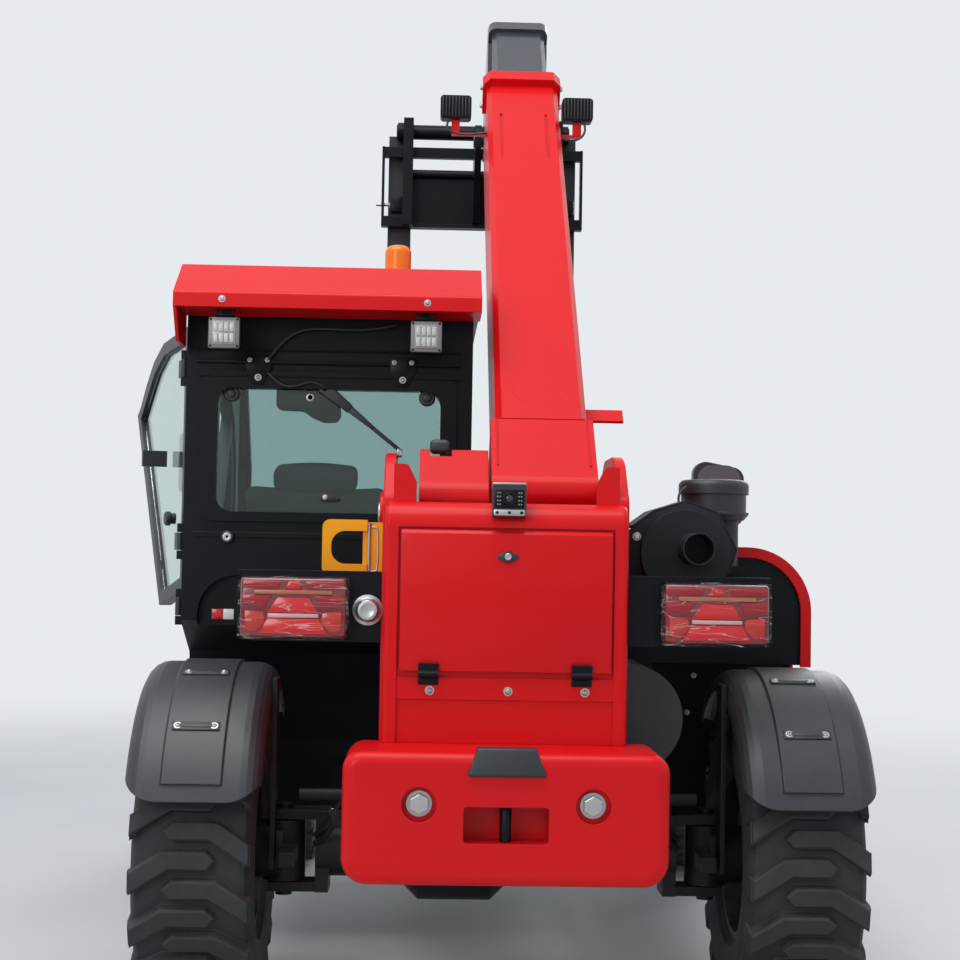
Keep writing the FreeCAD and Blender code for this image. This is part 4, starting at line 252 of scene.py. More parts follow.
COLUMNS = ("colour", "roughness", "metallic", "coat", "mottle", "grain_scale", "grain_depth", "edge_radius",
           "edge_wear", "dust")
FINISHES = {
    "red_paint": ((0.66, 0.003, 0.006), 0.40, 0.0, 0.12, 0.06, 260.0, 0.04, 0.004, 0.02, 0.06),
    "black_plastic": ((0.018, 0.022, 0.029), 0.42, 0.0, 0.0, 0.10, 900.0, 0.22, 0.004, 0.08, 0.20),
    # black_frame is black paint darkened further as painted shade, for the shade under the cab roof and in
    # recesses
    "black_frame": ((0.0035, 0.0045, 0.0085), 0.36, 0.0, 0.03, 0.08, 420.0, 0.06, 0.003, 0.05, 0.06),
    "boom_black": ((0.034, 0.040, 0.050), 0.30, 0.0, 0.30, 0.08, 420.0, 0.06, 0.003, 0.06, 0.10),
    "cast_black": ((0.006, 0.007, 0.010), 0.46, 0.0, 0.0, 0.20, 140.0, 0.45, 0.004, 0.12, 0.25),
    "black_heatproof": ((0.010, 0.012, 0.017), 0.50, 0.0, 0.0, 0.15, 300.0, 0.30, 0.003, 0.10, 0.15),
    "fork_steel": ((0.016, 0.017, 0.020), 0.40, 0.3, 0.0, 0.20, 200.0, 0.20, 0.004, 0.45, 0.20),
    "engine": ((0.10, 0.10, 0.105), 0.55, 0.4, 0.0, 0.30, 90.0, 0.60, 0.006, 0.30, 0.40),
    "rim": ((0.014, 0.016, 0.021), 0.42, 0.0, 0.1, 0.10, 400.0, 0.10, 0.003, 0.20, 0.55),
    "tyre": ((0.019, 0.022, 0.027), 0.70, 0.0, 0.0, 0.25, 500.0, 0.50, 0.004, 0.06, 0.45),
    "yellow_paint": ((0.95, 0.39, 0.004), 0.38, 0.0, 0.10, 0.05, 260.0, 0.06, 0.002, 0.02, 0.04),
    "seat_cover": ((0.135, 0.148, 0.148), 0.60, 0.0, 0.0, 0.20, 1400.0, 0.80, 0.008, 0.05, 0.20),
    "chrome_rod": ((0.62, 0.62, 0.64), 0.12, 1.0, 0.0, 0.03, 600.0, 0.03, 0.001, 0.00, 0.10),
    "zinc": ((0.50, 0.50, 0.49), 0.34, 0.85, 0.0, 0.12, 300.0, 0.10, 0.001, 0.10, 0.15),
    "lens_deep": ((0.20, 0.002, 0.006), 0.14, 0.0, 0.8, 0.15, 240.0, 0.10, 0.002, 0.00, 0.05),
    "lens_bright": ((0.60, 0.003, 0.008), 0.16, 0.0, 0.4, 0.08, 300.0, 0.15, 0.001, 0.00, 0.05),
    "lens_side": ((0.34, 0.002, 0.007), 0.16, 0.0, 0.3, 0.08, 300.0, 0.15, 0.001, 0.00, 0.05),
    "lens_orange": ((0.50, 0.018, 0.008), 0.18, 0.0, 0.4, 0.08, 300.0, 0.15, 0.001, 0.00, 0.05),
    "strip_amber": ((0.42, 0.12, 0.05), 0.30, 0.0, 0.4, 0.10, 500.0, 0.20, 0.001, 0.00, 0.05),
    "strip_pale": ((0.62, 0.36, 0.36), 0.30, 0.0, 0.4, 0.10, 500.0, 0.20, 0.001, 0.00, 0.05),
    "lamp_bezel": ((0.20, 0.21, 0.21), 0.38, 0.0, 0.3, 0.10, 500.0, 0.12, 0.002, 0.10, 0.10),
    "led_pale": ((0.34, 0.35, 0.34), 0.25, 0.2, 0.4, 0.15, 400.0, 0.10, 0.001, 0.00, 0.05),
    "led_bright": ((0.52, 0.54, 0.52), 0.18, 0.0, 0.6, 0.05, 400.0, 0.10, 0.001, 0.00, 0.02),
    "marker_white": ((0.70, 0.70, 0.68), 0.35, 0.0, 0.3, 0.06, 700.0, 0.10, 0.001, 0.00, 0.15),
    "mirror_glass": ((0.12, 0.10, 0.11), 0.03, 1.0, 0.0, 0.02, 80.0, 0.01, 0.001, 0.00, 0.03),
    "glass_dark": ((0.004, 0.005, 0.010), 0.05, 0.0, 1.0, 0.02, 80.0, 0.01, 0.001, 0.00, 0.02),
    "amber": ((0.85, 0.20, 0.003), 0.22, 0.0, 0.25, 0.05, 300.0, 0.05, 0.002, 0.00, 0.05),
}
# How strongly a finish shines where it isn't metal; the others have 0.5
GLOSS = {"red_paint": 0.16, "black_frame": 0.14, "cast_black": 0.22, "yellow_paint": 0.2,
    "black_heatproof": 0.26, "tyre": 0.4, "seat_cover": 0.3, "amber": 0.25}
MATERIALS = {slot: material_of(slot, specular=GLOSS.get(slot, 0.5), **dict(zip(COLUMNS, row)))
             for slot, row in FINISHES.items()}
MATERIALS["cab_glass"] = glass_of("cab_glass", (0.48, 0.62, 0.60, 1.0))
MATERIALS["lamp_red"] = glass_of("lamp_red", (0.55, 0.004, 0.012, 1.0), roughness=0.12)
MATERIALS["lamp_clear"] = glass_of("lamp_clear", (0.90, 0.92, 0.94, 1.0), roughness=0.05)
MATERIALS["film"] = film_of("film")

BODY_OF = {name: body for body, names in frame["record"]["behaviour"]["bodies"].items() for name in names}

# Nodes whose finish differs from the rest of their slot
OWN_FINISH = {"inner_boom": "boom_black", "boom_lamps": "black_frame", "cab_lamps": "black_frame"}
for name, node in NODES.items():
    for slot in node.material_slots:
        slot.material = MATERIALS[OWN_FINISH.get(name, slot.material.name.split(".")[0])]


# How pieces are made: a primitive is added alone, shaped in edit mode, and joined with others into one piece
def at(x, y, z):
    """A place in millimetres in the machine's own frame, as metres in the row's frame."""
    return MACHINE + Vector((x, y, z)) * 0.001


def deselect():
    bpy.ops.object.select_all(action="DESELECT")


@contextmanager
def editing(kind="FACE"):
    """Opens the active piece in edit mode with all of it selected, and closes it again."""
    bpy.ops.object.mode_set(mode="EDIT")
    bpy.ops.mesh.select_mode(type=kind)
    bpy.ops.mesh.select_all(action="SELECT")
    yield
    bpy.ops.object.mode_set(mode="OBJECT")


def pick(kind, test):
    """Selects only the faces, edges or verts that pass a test, by their place or normal."""
    bpy.ops.mesh.select_all(action="DESELECT")
    mesh = bmesh.from_edit_mesh(bpy.context.object.data)
    for element in getattr(mesh, kind):
        if test(element):
            element.select_set(True)
    bmesh.update_edit_mesh(bpy.context.object.data)


def outward():
    """Turns every face of the open piece outwards."""
    bpy.ops.mesh.select_all(action="SELECT")
    bpy.ops.mesh.normals_make_consistent(inside=False)


def block(low, high, rounding=2.0, segments=2):
    """A cube stretched between two corners, with its edges rounded."""
    deselect()
    middle = [(first + last) / 2 for first, last in zip(low, high)]
    size = [(last - first) / 1000 for first, last in zip(low, high)]
    bpy.ops.mesh.primitive_cube_add(size=1.0, location=at(*middle), scale=size)
    bpy.ops.object.transform_apply()
    with editing("EDGE"):
        bpy.ops.mesh.bevel(offset=rounding / 1000, segments=segments, affect="EDGES", clamp_overlap=True)
    return bpy.context.object


def slab(middle, half, deep, tall, rounding=2.0, segments=2):
    """A block centred across the machine on a middle, from its half width and its spans in y and z."""
    return block((middle - half, deep[0], tall[0]), (middle + half, deep[1], tall[1]), rounding, segments)


def turned(start, line, steps, sides=32):
    """A disc drawn out along a line from a start: each step is a distance and a radius in millimetres."""
    deselect()
    line = Vector(line).normalized()
    bpy.ops.mesh.primitive_circle_add(vertices=sides, radius=steps[0][1] / 1000, fill_type="NGON",
        location=start + line * steps[0][0] / 1000, rotation=line.to_track_quat("Z", "Y").to_euler())
    bpy.ops.object.transform_apply()
    with editing():
        for (before, wide), (after, narrow) in zip(steps, steps[1:]):
            bpy.ops.mesh.extrude_region_move(TRANSFORM_OT_translate={"value": line * (after - before) / 1000})
            if narrow != wide:
                middle = start + line * after / 1000
                bpy.ops.transform.resize(value=[narrow / wide] * 3, center_override=middle)
        outward()
    return bpy.context.object


def plate(places, push, rounding=0.0):
    """A flat outline drawn out by a push, in metres, with its edges rounded by so many millimetres."""
    deselect()
    bpy.ops.mesh.primitive_circle_add(vertices=len(places), fill_type="NGON")
    for vertex, place in zip(bpy.context.object.data.vertices, places):
        vertex.co = place
    with editing():
        bpy.ops.mesh.extrude_region_move(TRANSFORM_OT_translate={"value": Vector(push)})
        outward()
        if rounding:
            bpy.ops.mesh.bevel(offset=rounding / 1000, segments=2, affect="EDGES", clamp_overlap=True)
    return bpy.context.object


def boss(start, steps, sides):
    """A round piece that faces the rear, drawn out in steps."""
    return turned(start, REARWARD, steps, sides)


def upright(y, push, corners, rounding, middle=(0, 0)):
    """A plate that stands across the machine: corners in x and z round a middle, drawn out along y."""
    return plate([at(middle[0] + x, y, middle[1] + z) for x, z in corners], (0, push / 1000, 0), rounding)


def smooth_line(name, places, radius):
    """A cable's curve: one open spline with these places as its control points."""
    curve = bpy.data.curves.new(name, "CURVE")
    curve.dimensions = "3D"
    curve.bevel_depth = radius
    curve.bevel_resolution = 3
    curve.use_fill_caps = True
    spline = curve.splines.new("NURBS")
    spline.points.add(len(places) - 1)
    for point, place in zip(spline.points, places):
        point.co = (*place, 1.0)
    spline.order_u = 3
    spline.use_endpoint_u = True
    line = bpy.data.objects.new(name, curve)
    bpy.context.scene.collection.objects.link(line)
    return line


def pipe(places, radius):
    """A bent bar or weld bead along a smooth line, as a mesh."""
    deselect()
    line = smooth_line("pipe", places, radius / 1000)
    line.select_set(True)
    bpy.context.view_layer.objects.active = line
    bpy.ops.object.convert(target="MESH")
    return bpy.context.object


def round_corners(left, right, bottom, top, radius, y):
    """The outline of an upright panel whose corners are round."""
    places = []
    for quarter, (x, z) in enumerate(((right - radius, top - radius), (left + radius, top - radius),
            (left + radius, bottom + radius), (right - radius, bottom + radius))):
        for part in range(7):
            angle = math.pi / 2 * (quarter + part / 6)
            places.append(at(x + radius * math.cos(angle), y, z + radius * math.sin(angle)))
    return places


def copied(part, turn):
    """A copy of a part, with its own mesh, moved by a matrix."""
    twin = part.copy()
    twin.data = part.data.copy()
    twin.data.transform(turn)
    bpy.context.scene.collection.objects.link(twin)
    return twin


def painted(finish, *parts):
    """Gives parts a finish, and hands them back as a list."""
    for part in parts:
        part.data.materials.clear()
        part.data.materials.append(MATERIALS[finish])
    return list(parts)


def joined(parts):
    """Several parts as one, which is the first of them."""
    deselect()
    for part in parts:
        part.select_set(True)
    bpy.context.view_layer.objects.active = parts[0]
    if len(parts) > 1:
        bpy.ops.object.join()
    return bpy.context.object


def fitted(name, body, parts, replaces=(), angle=35.0):
    """Joins parts into one piece at the origin that rides on a body."""
    piece = joined(parts)
    piece.name = piece.data.name = name
    bpy.ops.object.transform_apply()
    bpy.ops.object.shade_smooth_by_angle(angle=math.radians(angle))
    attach(piece, body)
    if replaces:
        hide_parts(*replaces)
    return piece


def button_bolt(place, radius, line=REARWARD):
    """A round-headed bolt on its washer, with a socket."""
    washer = [(0, radius * 1.55), (1.4, radius * 1.5), (1.5, radius)]
    dome = [(radius * rise, radius * wide) for rise, wide in ((0.45, 0.97), (0.8, 0.72), (0.92, 0.42))]
    return turned(place, line, washer + dome + [(radius * 0.45, radius * 0.38)], 20)


def hex_bolt(place, line, radius, tall):
    """A hexagon head with a chamfered top on a round washer."""
    washer = turned(place, line, [(0, radius * 1.25), (2.5, radius * 1.22)], 28)
    head = [(2.0, radius), (tall - 2, radius), (tall, radius * 0.86), (tall + 0.4, radius * 0.4)]
    return [washer, turned(place, line, head, 6)]


# Tyres
def tyre_lug():
    """One lug lying flat: across the tyre, along its tread, and its height from 0 to 1."""
    outline = [(150, -55), (150, -27), (148, 0), (108, 27), (68, 53), (28, 54), (-12, 54), (-42, 53),
        (-64, 32), (-46, 9), (8, 9), (47, 10), (98, -22)]
    lug = plate([Vector((across, along, 0)) * 0.001 for across, along in outline], (0, 0, 0.001))
    with editing():
        pick("faces", lambda face: face.normal.z > 0.5)
        bpy.ops.mesh.inset(thickness=0.0042, use_even_offset=True)
        bpy.ops.transform.translate(value=(0, 0, 0.0001))
        pick("faces", lambda face: face.normal.z < -0.5)
        bpy.ops.transform.resize(value=(1.0, 1.16, 1.0), center_override=(0.04, 0.0, 0.0))
    for vertex in lug.data.vertices:
        across, along, level = vertex.co * 1000
        crown = 414.6 - 3.2 * (across / 143.5) ** 2
        height = {0: 374.0, 1: crown - 4.0}.get(round(level, 2), crown)
        across = max(-150.0, min(150.0 if level < 0.5 else 144.5, across))
        angle = along / 411.0
        vertex.co = Vector((across, math.sin(angle) * height, math.cos(angle) * height)) * 0.001
    return lug


def tyre_buttress():
    """The lug's foot that runs down the shoulder of the sidewall."""
    low, high = -0.128, 0.004
    corners = [(at_x, radius, angle) for radius, at_x in ((338.0, 150.5), (372.0, 151.8), (398.0, 148.5))
               for angle in (low, high)]
    rows = [corners[number] for number in (0, 2, 4, 5, 3, 1)]
    return plate([Vector((x, math.sin(turn) * r, math.cos(turn) * r)) * 0.001 for x, r, turn in rows],
        (-0.02, 0, 0))


def make_tyre():
    """One tyre round the X axis: a spun carcass with sidewall rings, and two staggered rows of lugs."""
    half = [(112, 212.5), (121, 216), (128, 226), (134, 234), (139, 236), (143, 240), (144, 248),
        (145.5, 256), (148.5, 272), (151, 290), (152.2, 303), (151.4, 309), (152.3, 312), (152.0, 320),
        (150.6, 323), (149.5, 338), (146.5, 352), (141, 366), (133, 376), (118, 382), (60, 385.5), (0, 386.5)]
    ring = half + [(-x, r) for x, r in reversed(half[:-1])]
    deselect()
    bpy.ops.mesh.primitive_circle_add(vertices=len(ring), fill_type="NOTHING")
    carcass = bpy.context.object
    for vertex, (across, radius) in zip(carcass.data.vertices, ring):
        vertex.co = Vector((across, 0.0, radius)) * 0.001
    with editing("VERT"):
        bpy.ops.mesh.spin(steps=96, angle=math.tau, center=(0, 0, 0), axis=(1, 0, 0))
        bpy.ops.mesh.select_all(action="SELECT")
        bpy.ops.mesh.remove_doubles(threshold=0.0002)
        outward()
    lug, foot = tyre_lug(), tyre_buttress()
    mirror = Matrix.Scale(-1, 4, (1, 0, 0))
    parts = [carcass]
    for count in range(18):
        for row, stagger in ((Matrix.Identity(4), 0.0), (mirror, 10.0)):
            turn = Matrix.Rotation(math.radians(20 * count + stagger), 4, "X") @ row
            for part in (lug, foot):
                twin = copied(part, turn)
                if stagger:
                    twin.data.flip_normals()
                parts.append(twin)
    for part in (lug, foot):
        bpy.data.objects.remove(part)
    return joined(painted("tyre", *parts))


NUT_CIRCLE = 142
# Each wheel's side, -1 for left, and its place along the machine
CORNERS = {end + name: (side, along) for end, along in (("rear_", 0), ("front_", WHEELBASE))
           for name, side in (("left", -1), ("right", 1))}


def fit_wheels():
    """The tyres, the wheel nuts on each disc, and the valve."""
    tyre = make_tyre()
    for corner, (side, along) in CORNERS.items():
        twin = copied(tyre, Matrix.Translation(at(side * WHEEL_X, along, AXLE_HEIGHT)))
        fitted("tread_" + corner, "wheel_" + corner, [twin], ["tyre_" + corner], 28.0)
        nuts = []
        for count in range(8):
            angle = math.tau * (count + 0.5) / 8
            place = at(side * (WHEEL_X - 22), along + NUT_CIRCLE * math.sin(angle),
                       AXLE_HEIGHT + NUT_CIRCLE * math.cos(angle))
            nuts += hex_bolt(place, (side, 0, 0), 15, 17)
        valve = turned(at(side * (WHEEL_X + 40), along, AXLE_HEIGHT + 178), (side, 0, 0.3),
                       [(0, 5), (34, 5), (34, 6.5), (48, 6)], 12)
        parts = painted("zinc", *nuts) + painted("black_plastic", valve)
        fitted("wheel_nuts_" + corner, "wheel_" + corner, parts)
    bpy.data.objects.remove(tyre)


# Rear of the machine
def fit_tail_lamps():
    """Each lamp: a black tray, a red lens in panels, light strips across, and the clear film it came in."""
    trays, films = [], []
    for side in (-1, 1):
        middle = TAIL_LAMP_X * side

        def panel(corners, front=-394.5):
            return upright(front, -386 - front, corners, 1.5, (middle, TAIL_LAMP_Z))

        trays += painted("black_plastic", slab(middle, 131, (-374, -336), (989, 1137), 6))
        trays += painted("lens_deep", slab(middle, 130, (-391, -370), (990, 1136), 9, 3))
        trays += painted("lens_bright",
                         panel([(-38, 26), (38, 26), (62, -12), (-62, -12)], -395),
                         panel([(-62, -26), (62, -26), (84, -64), (-84, -64)], -395),
                         panel([(-20, 46), (20, 46), (12, 64), (-12, 64)], -394))
        for way in (-1, 1):
            trays += painted("lens_orange", panel([(-118 * way, -56), (-92 * way, -60), (-68 * way, -36),
                (-72 * way, -12), (-118 * way, -8)], -394))
            trays += painted("lens_side", panel([(-124 * way, 64), (-30 * way, 64), (-38 * way, 47),
                (-124 * way, 47)]), panel([(-124 * way, 31), (-52 * way, 31), (-68 * way, 2),
                (-124 * way, 8)]))
        trays += painted("strip_amber", slab(middle, 96, (-398, -388), (1096, 1106), 2))
        trays += painted("strip_pale", slab(middle, 62, (-397, -388), (1039, 1049), 2))
        film = slab(middle, 134, (-401, -360), (986, 1140), 7, 3)
        with editing():
            bpy.ops.mesh.subdivide(number_cuts=5)
            pick("faces", lambda face: face.normal.y > 0.7)
            bpy.ops.mesh.delete(type="FACE")
            bpy.ops.mesh.select_all(action="SELECT")
            bpy.ops.transform.vertex_random(offset=0.0028, uniform=0.4, normal=0.6, seed=7 + side)
        films += painted("film", film)
    fitted("tail_lamp_lenses", "chassis", trays, ["tail_lamps"])
    fitted("tail_lamp_film", "chassis", films, angle=20.0)


def fit_rear_housing():
    """Latch, strip bolts and hinge pins of the service door, and the camera's face."""
    wings = ((-26, -3), (-14, -10), (14, -10), (26, -3), (26, 4), (14, 9), (-14, 9), (-26, 4))
    key = [(0, 8.5), (2.5, 8.5), (3.5, 7), (3.0, 2.5), (1.0, 2.2)]
    latch = painted("black_plastic", boss(at(2, -415, 1197), [(0, 15), (5, 15), (9, 13), (9.5, 9)], 28),
                    upright(-415, -6, wings, 1.5, (2, 1197)))
    latch += painted("zinc", boss(at(2, -424, 1197), key, 24))
    fitted("service_latch", "service_door", latch)
    bolts = [button_bolt(at(x, -400.5, 867), 7.5) for x in (-184, 8, 197)]
    fitted("strip_bolts", "chassis", painted("zinc", *bolts))
    pins = [turned(at(middle - 25, -423, 908), (1, 0, 0), [(0, 4), (50, 4)], 12)
            for middle in (-DOOR_HINGE_X, DOOR_HINGE_X)]
    pins += [boss(at(middle + x, -415, 926), [(0, 4.5), (2.5, 4.5), (3.5, 3)], 12)
             for middle in (-DOOR_HINGE_X, DOOR_HINGE_X) for x in (-14, 14)]
    fitted("hinge_pins", "service_door", painted("black_frame", *pins))
    camera = painted("zinc", block((-39, -429, 1364), (45, -377, 1379), 3),
                     block((-36, -434, 1297), (42, -424, 1313), 3))
    camera += painted("black_frame", block((-34, -436, 1315), (40, -428, 1362), 4),
                      boss(at(3, -436, 1339), [(0, 15), (3, 15), (3.5, 12), (1, 10)], 28))
    camera += painted("glass_dark", boss(at(3, -436.5, 1339), [(0, 9.5), (2, 8), (3, 4.5), (3.3, 1)], 24))
    camera += painted("led_pale", *[boss(at(3 + x, -436, 1339 + z), [(0, 2), (1, 1.6)], 8)
                                    for x in (-29, -23, 23, 29) for z in (-14, -5, 5, 14)])
    camera += painted("black_frame", *[boss(at(x, -434, 1305), [(0, 4), (3, 3.4)], 10) for x in (-27, 3, 33)])
    fitted("camera_face", "chassis", camera)


def fit_service_door():
    """The door as a pressed panel: its top edge folded back at a slant, the other edges rounded."""
    deselect()
    bpy.ops.mesh.primitive_cube_add(size=1.0, location=at(0, -408, 1088), scale=(0.520, 0.014, 0.346))
    bpy.ops.object.transform_apply()
    with editing("EDGE"):
        top = at(0, -415, 1261)
        pick("edges", lambda edge: all((v.co - top).yz.length < 0.001 for v in edge.verts))
        bpy.ops.mesh.bevel(offset=0.0128, offset_type="WIDTH", segments=1, affect="EDGES")
        bpy.ops.mesh.select_all(action="DESELECT")
        pick("edges", lambda edge: edge.calc_face_angle(0.0) > 0.5)
        bpy.ops.mesh.bevel(offset=0.0018, segments=2, affect="EDGES", clamp_overlap=True)
    fitted("service_panel", "service_door", painted("red_paint", bpy.context.object),
        ["service_door"])


def fit_counterweight():
    """Hexagon heads in the two recesses, step pad, tow pin and the fixed leaves of the door's hinges."""
    heads = []
    for middle in (-204, 204):
        heads += hex_bolt(at(middle, -581, 617), REARWARD, 25, 22)
    fitted("weight_bolt_heads", "chassis", painted("zinc", *heads), angle=18.0)
    pad = slab(0, 92, (-617, -546), (684, 749), 7, 3)
    with editing("VERT"):
        pick("verts", lambda vertex: vertex.co.z > 0.72)
        bpy.ops.transform.resize(value=(0.78, 0.72, 1.0), center_override=at(0, -560, 740))
    fitted("step_pad", "chassis", painted("black_plastic", pad), ["rear_fittings"])
    pin = turned(at(0, -566, 527), UPWARD, [(0, 12), (2, 14), (84, 14), (87, 12)], 28)
    leaves = [slab(side * DOOR_HINGE_X, 25, (-405, -400.5), (881, 899), 1.5) for side in (-1, 1)]
    fitted("tow_pin_and_leaves", "chassis", painted("black_frame", pin, *leaves))


def fit_fender_plates():
    """Two slotted plates with two bolts each, on the raised tongue of every fender."""
    for corner, (side, along) in CORNERS.items():
        parts = []
        for lean in (19.0, 45.0):
            dark = [block((-59, -13, 497), (59, 13, 500.5), 1.5),
                    block((-40, -5.5, 500), (40, 5.5, 502), 1.0)]
            bright = [button_bolt(at(x, 0, 500), 6.5, UPWARD) for x in (-45, 45)]
            turn = (Matrix.Translation(at(757 * side, along, AXLE_HEIGHT))
                @ Matrix.Rotation(math.radians(lean), 4, "X") @ Matrix.Translation(-MACHINE))
            for part in painted("black_plastic", *dark) + painted("zinc", *bright):
                part.data.transform(turn)
                parts.append(part)
        fitted("fender_plates_" + corner, BODY_OF["fender_" + corner], parts)


def fit_cab_rear():
    """Everything flat on the cab's rear: hinge brackets, knobs, latch, lock, roof bolts, ridges and wiper."""
    parts = []
    for middle in (-690, -276):
        parts += painted("black_frame", upright(338, -6, (
            (-37, 1762), (37, 1762), (37, 1722), (14, 1678), (-14, 1678), (-37, 1722)), 1.5, (middle, 0)))
        parts += painted("zinc", button_bolt(at(middle, 332, 1698), 6.5))
        parts += painted("zinc", *[button_bolt(at(middle + x, 332, 1748), 4.5) for x in (-25, 25)])
    knob = [(0, 24), (8, 24), (12, 20), (12.5, 13), (17, 12), (19, 8)]
    parts += painted("black_plastic", *[boss(at(x, 366, z), knob, 28)
                                        for x, z in ((-768, 1652), (-205, 1650))])
    # Latch of the window, and the lock on the ridge
    handle = ((-509, 1366), (-500, 1372), (-488, 1373), (-470, 1366), (-452, 1361), (-446, 1353),
              (-452, 1346), (-470, 1345), (-488, 1344), (-500, 1345), (-509, 1350))
    parts += painted("black_plastic", upright(366, -14, handle, 4))
    parts += painted("zinc", boss(at(-492, 353, 1358), [(0, 7.5), (3, 7.5), (4, 5)], 24))
    parts += painted("black_plastic", boss(at(-768, 340, 1240), [(0, 18), (6, 18), (9, 15)], 32))
    parts += painted("zinc", boss(at(-768, 332, 1240), [(0, 12), (3, 12), (3.6, 10), (2.4, 4), (1, 3.6)], 24))
    parts += painted("zinc", *[button_bolt(at(x, 125.5, 1893), 6.5) for x in (-774, -208)])
    fitted("cab_rear_fittings", "chassis", parts)
    ridges = [block((-868, 333, 1739), (-108, 339, 1747), 2),
              block((-868, 335, 1777), (-108, 339, 1781), 1.5),
              block((-862, 332, 1700), (-108, 338.5, 1703), 1)]
    fitted("cab_ridges", "chassis", painted("black_frame", *ridges))
    # Wiper: motor plate behind the glass, ring nut, arm and blade
    motor_plate = ((-640, 1680), (-640, 1620), (-628, 1608), (-560, 1606), (-536, 1588), (-500, 1574),
                   (-464, 1576), (-452, 1592), (-456, 1640), (-470, 1680))
    motor = painted("black_plastic", upright(372, 30, motor_plate, 6))
    motor += painted("zinc", boss(at(-542, 366, 1646), [(0, 12), (5, 12), (6, 10.5), (6, 7), (2, 6.5)], 24))
    start, end = Vector((-500, 346, 1672)), Vector((-274, 350, 1492))
    along = (end - start).normalized()
    across = along.cross(Vector((0, 1, 0))).normalized()

    def bar(first, last, wide_first, wide_last, front, deep, rounding):
        corners = [start + along * first + across * wide_first, start + along * last + across * wide_last,
                   start + along * last - across * wide_last, start + along * first - across * wide_first]
        return upright(front, deep, [corner.xz for corner in corners], rounding)

    motor += painted("black_plastic", boss(at(-500, 366, 1672), [(0, 21), (16, 20), (24, 16), (26, 9)], 28),
        bar(-8, 96, 19, 13, 340, 12, 4), bar(90, 180, 11, 6, 343, 9, 2.5), bar(60, 288, 7, 5.5, 350, 9, 2),
        bar(70, 288, 2.2, 2.2, 357, 8, 0.5))
    fitted("rear_wiper", "chassis", motor)


def fit_cab_lamps():
    """Faces of the two lamps under the roof: each a bezel, eight long lights, four screws and a holder."""
    parts = []
    for middle in (-769, -210):
        parts += painted("lamp_bezel", slab(middle, 43, (143, 151), (1759, 1845), 9, 3))
        parts += painted("led_pale", slab(middle, 33, (140, 147), (1768, 1836), 6, 3))
        parts += painted("led_bright", *[
            slab(middle + x, 6, (137, 142), (CAB_LAMP_Z + z - 13, CAB_LAMP_Z + z + 13), 4)
            for x in (-22, -7, 7, 22) for z in (-15, 15)])
        parts += painted("black_frame", *[
            boss(at(middle + x, 143, CAB_LAMP_Z + z), [(0, 3.5), (1.5, 3.2)], 10)
            for x in (-37, 37) for z in (-37, 37)])
        parts += painted("black_frame", slab(middle, 27, (158, 176), (1850, 1858), 2),
                         *[slab(middle + x, 4, (160, 174), (1846, 1872)) for x in (-22, 22)])
    fitted("cab_lamp_faces", "chassis", parts)


def fit_small_things():
    """Filler cap, reflector, door knob, loop hinge, mirror glass, bolts, heat shield and boom lamps."""
    neck = at(-341, -336, 1059)
    steps = [(0, 36), (7, 36), (8, 33), (10, 30), (26, 27), (29, 24), (30, 18), (28, 14)]
    cap = painted("zinc", boss(neck, steps, 12), boss(neck, [(0, 38), (6, 38), (7, 35)], 40))
    fitted("filler_cap", "chassis", cap)
    marker = painted("lens_bright", block((-812, 373, 1003), (-779, 379, 1033), 2))
    marker += painted("marker_white", block((-779, 373, 1003), (-748, 379, 1033), 2))
    fitted("side_reflector", "chassis", marker)
    steps = [(-8, 16), (6, 16), (8, 21), (20, 21), (24, 17)]
    knob = painted("black_plastic", turned(at(-950, 515, 1292), (-0.9455, -0.3256, 0), steps, 28))
    fitted("door_glass_knob", "upper_door", knob)
    bow = ((-372, 1268), (-330, 1268), (-322, 1262), (-322, 1160), (-330, 1152), (-372, 1152))
    hinge = painted("zinc", pipe([at(x, -214, z) for x, z in bow], 3.2),
                    pipe([at(-345, -219, z) for z in (1150, 1210, 1270)], 4.0),
                    turned(at(-345, -219, 1144), UPWARD, [(0, 6.5), (8, 6.5)], 6),
                    turned(at(-345, -219, 1270), UPWARD, [(0, 6.5), (7, 6.5)], 6))
    fitted("loop_hinge", "chassis", hinge)
    glass = painted("mirror_glass", plate(round_corners(776, 936, 1330, 1542, 55, 1676), (0, 0.003, 0), 1.0),
                    plate(round_corners(-1084, -956, 1411, 1619, 30, 1697), (0, 0.004, 0), 1.0))
    fitted("mirror_glass", "chassis", glass)
    guard = painted("zinc", *[button_bolt(at(x, 599.5, z), 5.5) for x, z in ((613, 849), (594, 738))])
    fitted("guard_bolts", "chassis", guard)
    arch = ((318, 1262), (395, 1326), (482, 1354), (568, 1323), (618, 1227), (600, 1168), (560, 1130),
            (318, 1130))
    shield = painted("black_heatproof", upright(-119, 3, arch, 1.0))
    shield += painted("zinc", *hex_bolt(at(352, -120, 1256), REARWARD, 9, 9))
    fitted("shield_end", "chassis", shield)
    cover = painted("black_plastic", block((-194, -92, 1466), (-142, -30, 1503), 12, 4))
    fitted("hose_cap", "outer_boom", cover)
    nut = painted("zinc", *hex_bolt(at(-280, -50, 1466), (1, 0, 0), 11, 12))
    fitted("tower_nut", "chassis", nut)
    fronts = []
    for middle in (-127.5, 285.5):
        fronts += painted("led_pale", slab(middle, 44, (1266, 1270), (2684, 2748), 4, 2))
        fronts += painted("led_bright", *[
            turned(at(middle + x, 1269, 2716 + z), (0, 1, 0), [(0, 10), (3, 8), (4, 4)], 16)
            for x in (-30, 0, 30) for z in (-15, 15)])
        fronts += painted("black_plastic", *[slab(middle + x, 2, (1206, 1217), (2682, 2750), 1)
                                             for x in range(-44, 45, 11)])
    fitted("boom_lamp_faces", "outer_boom", fronts)


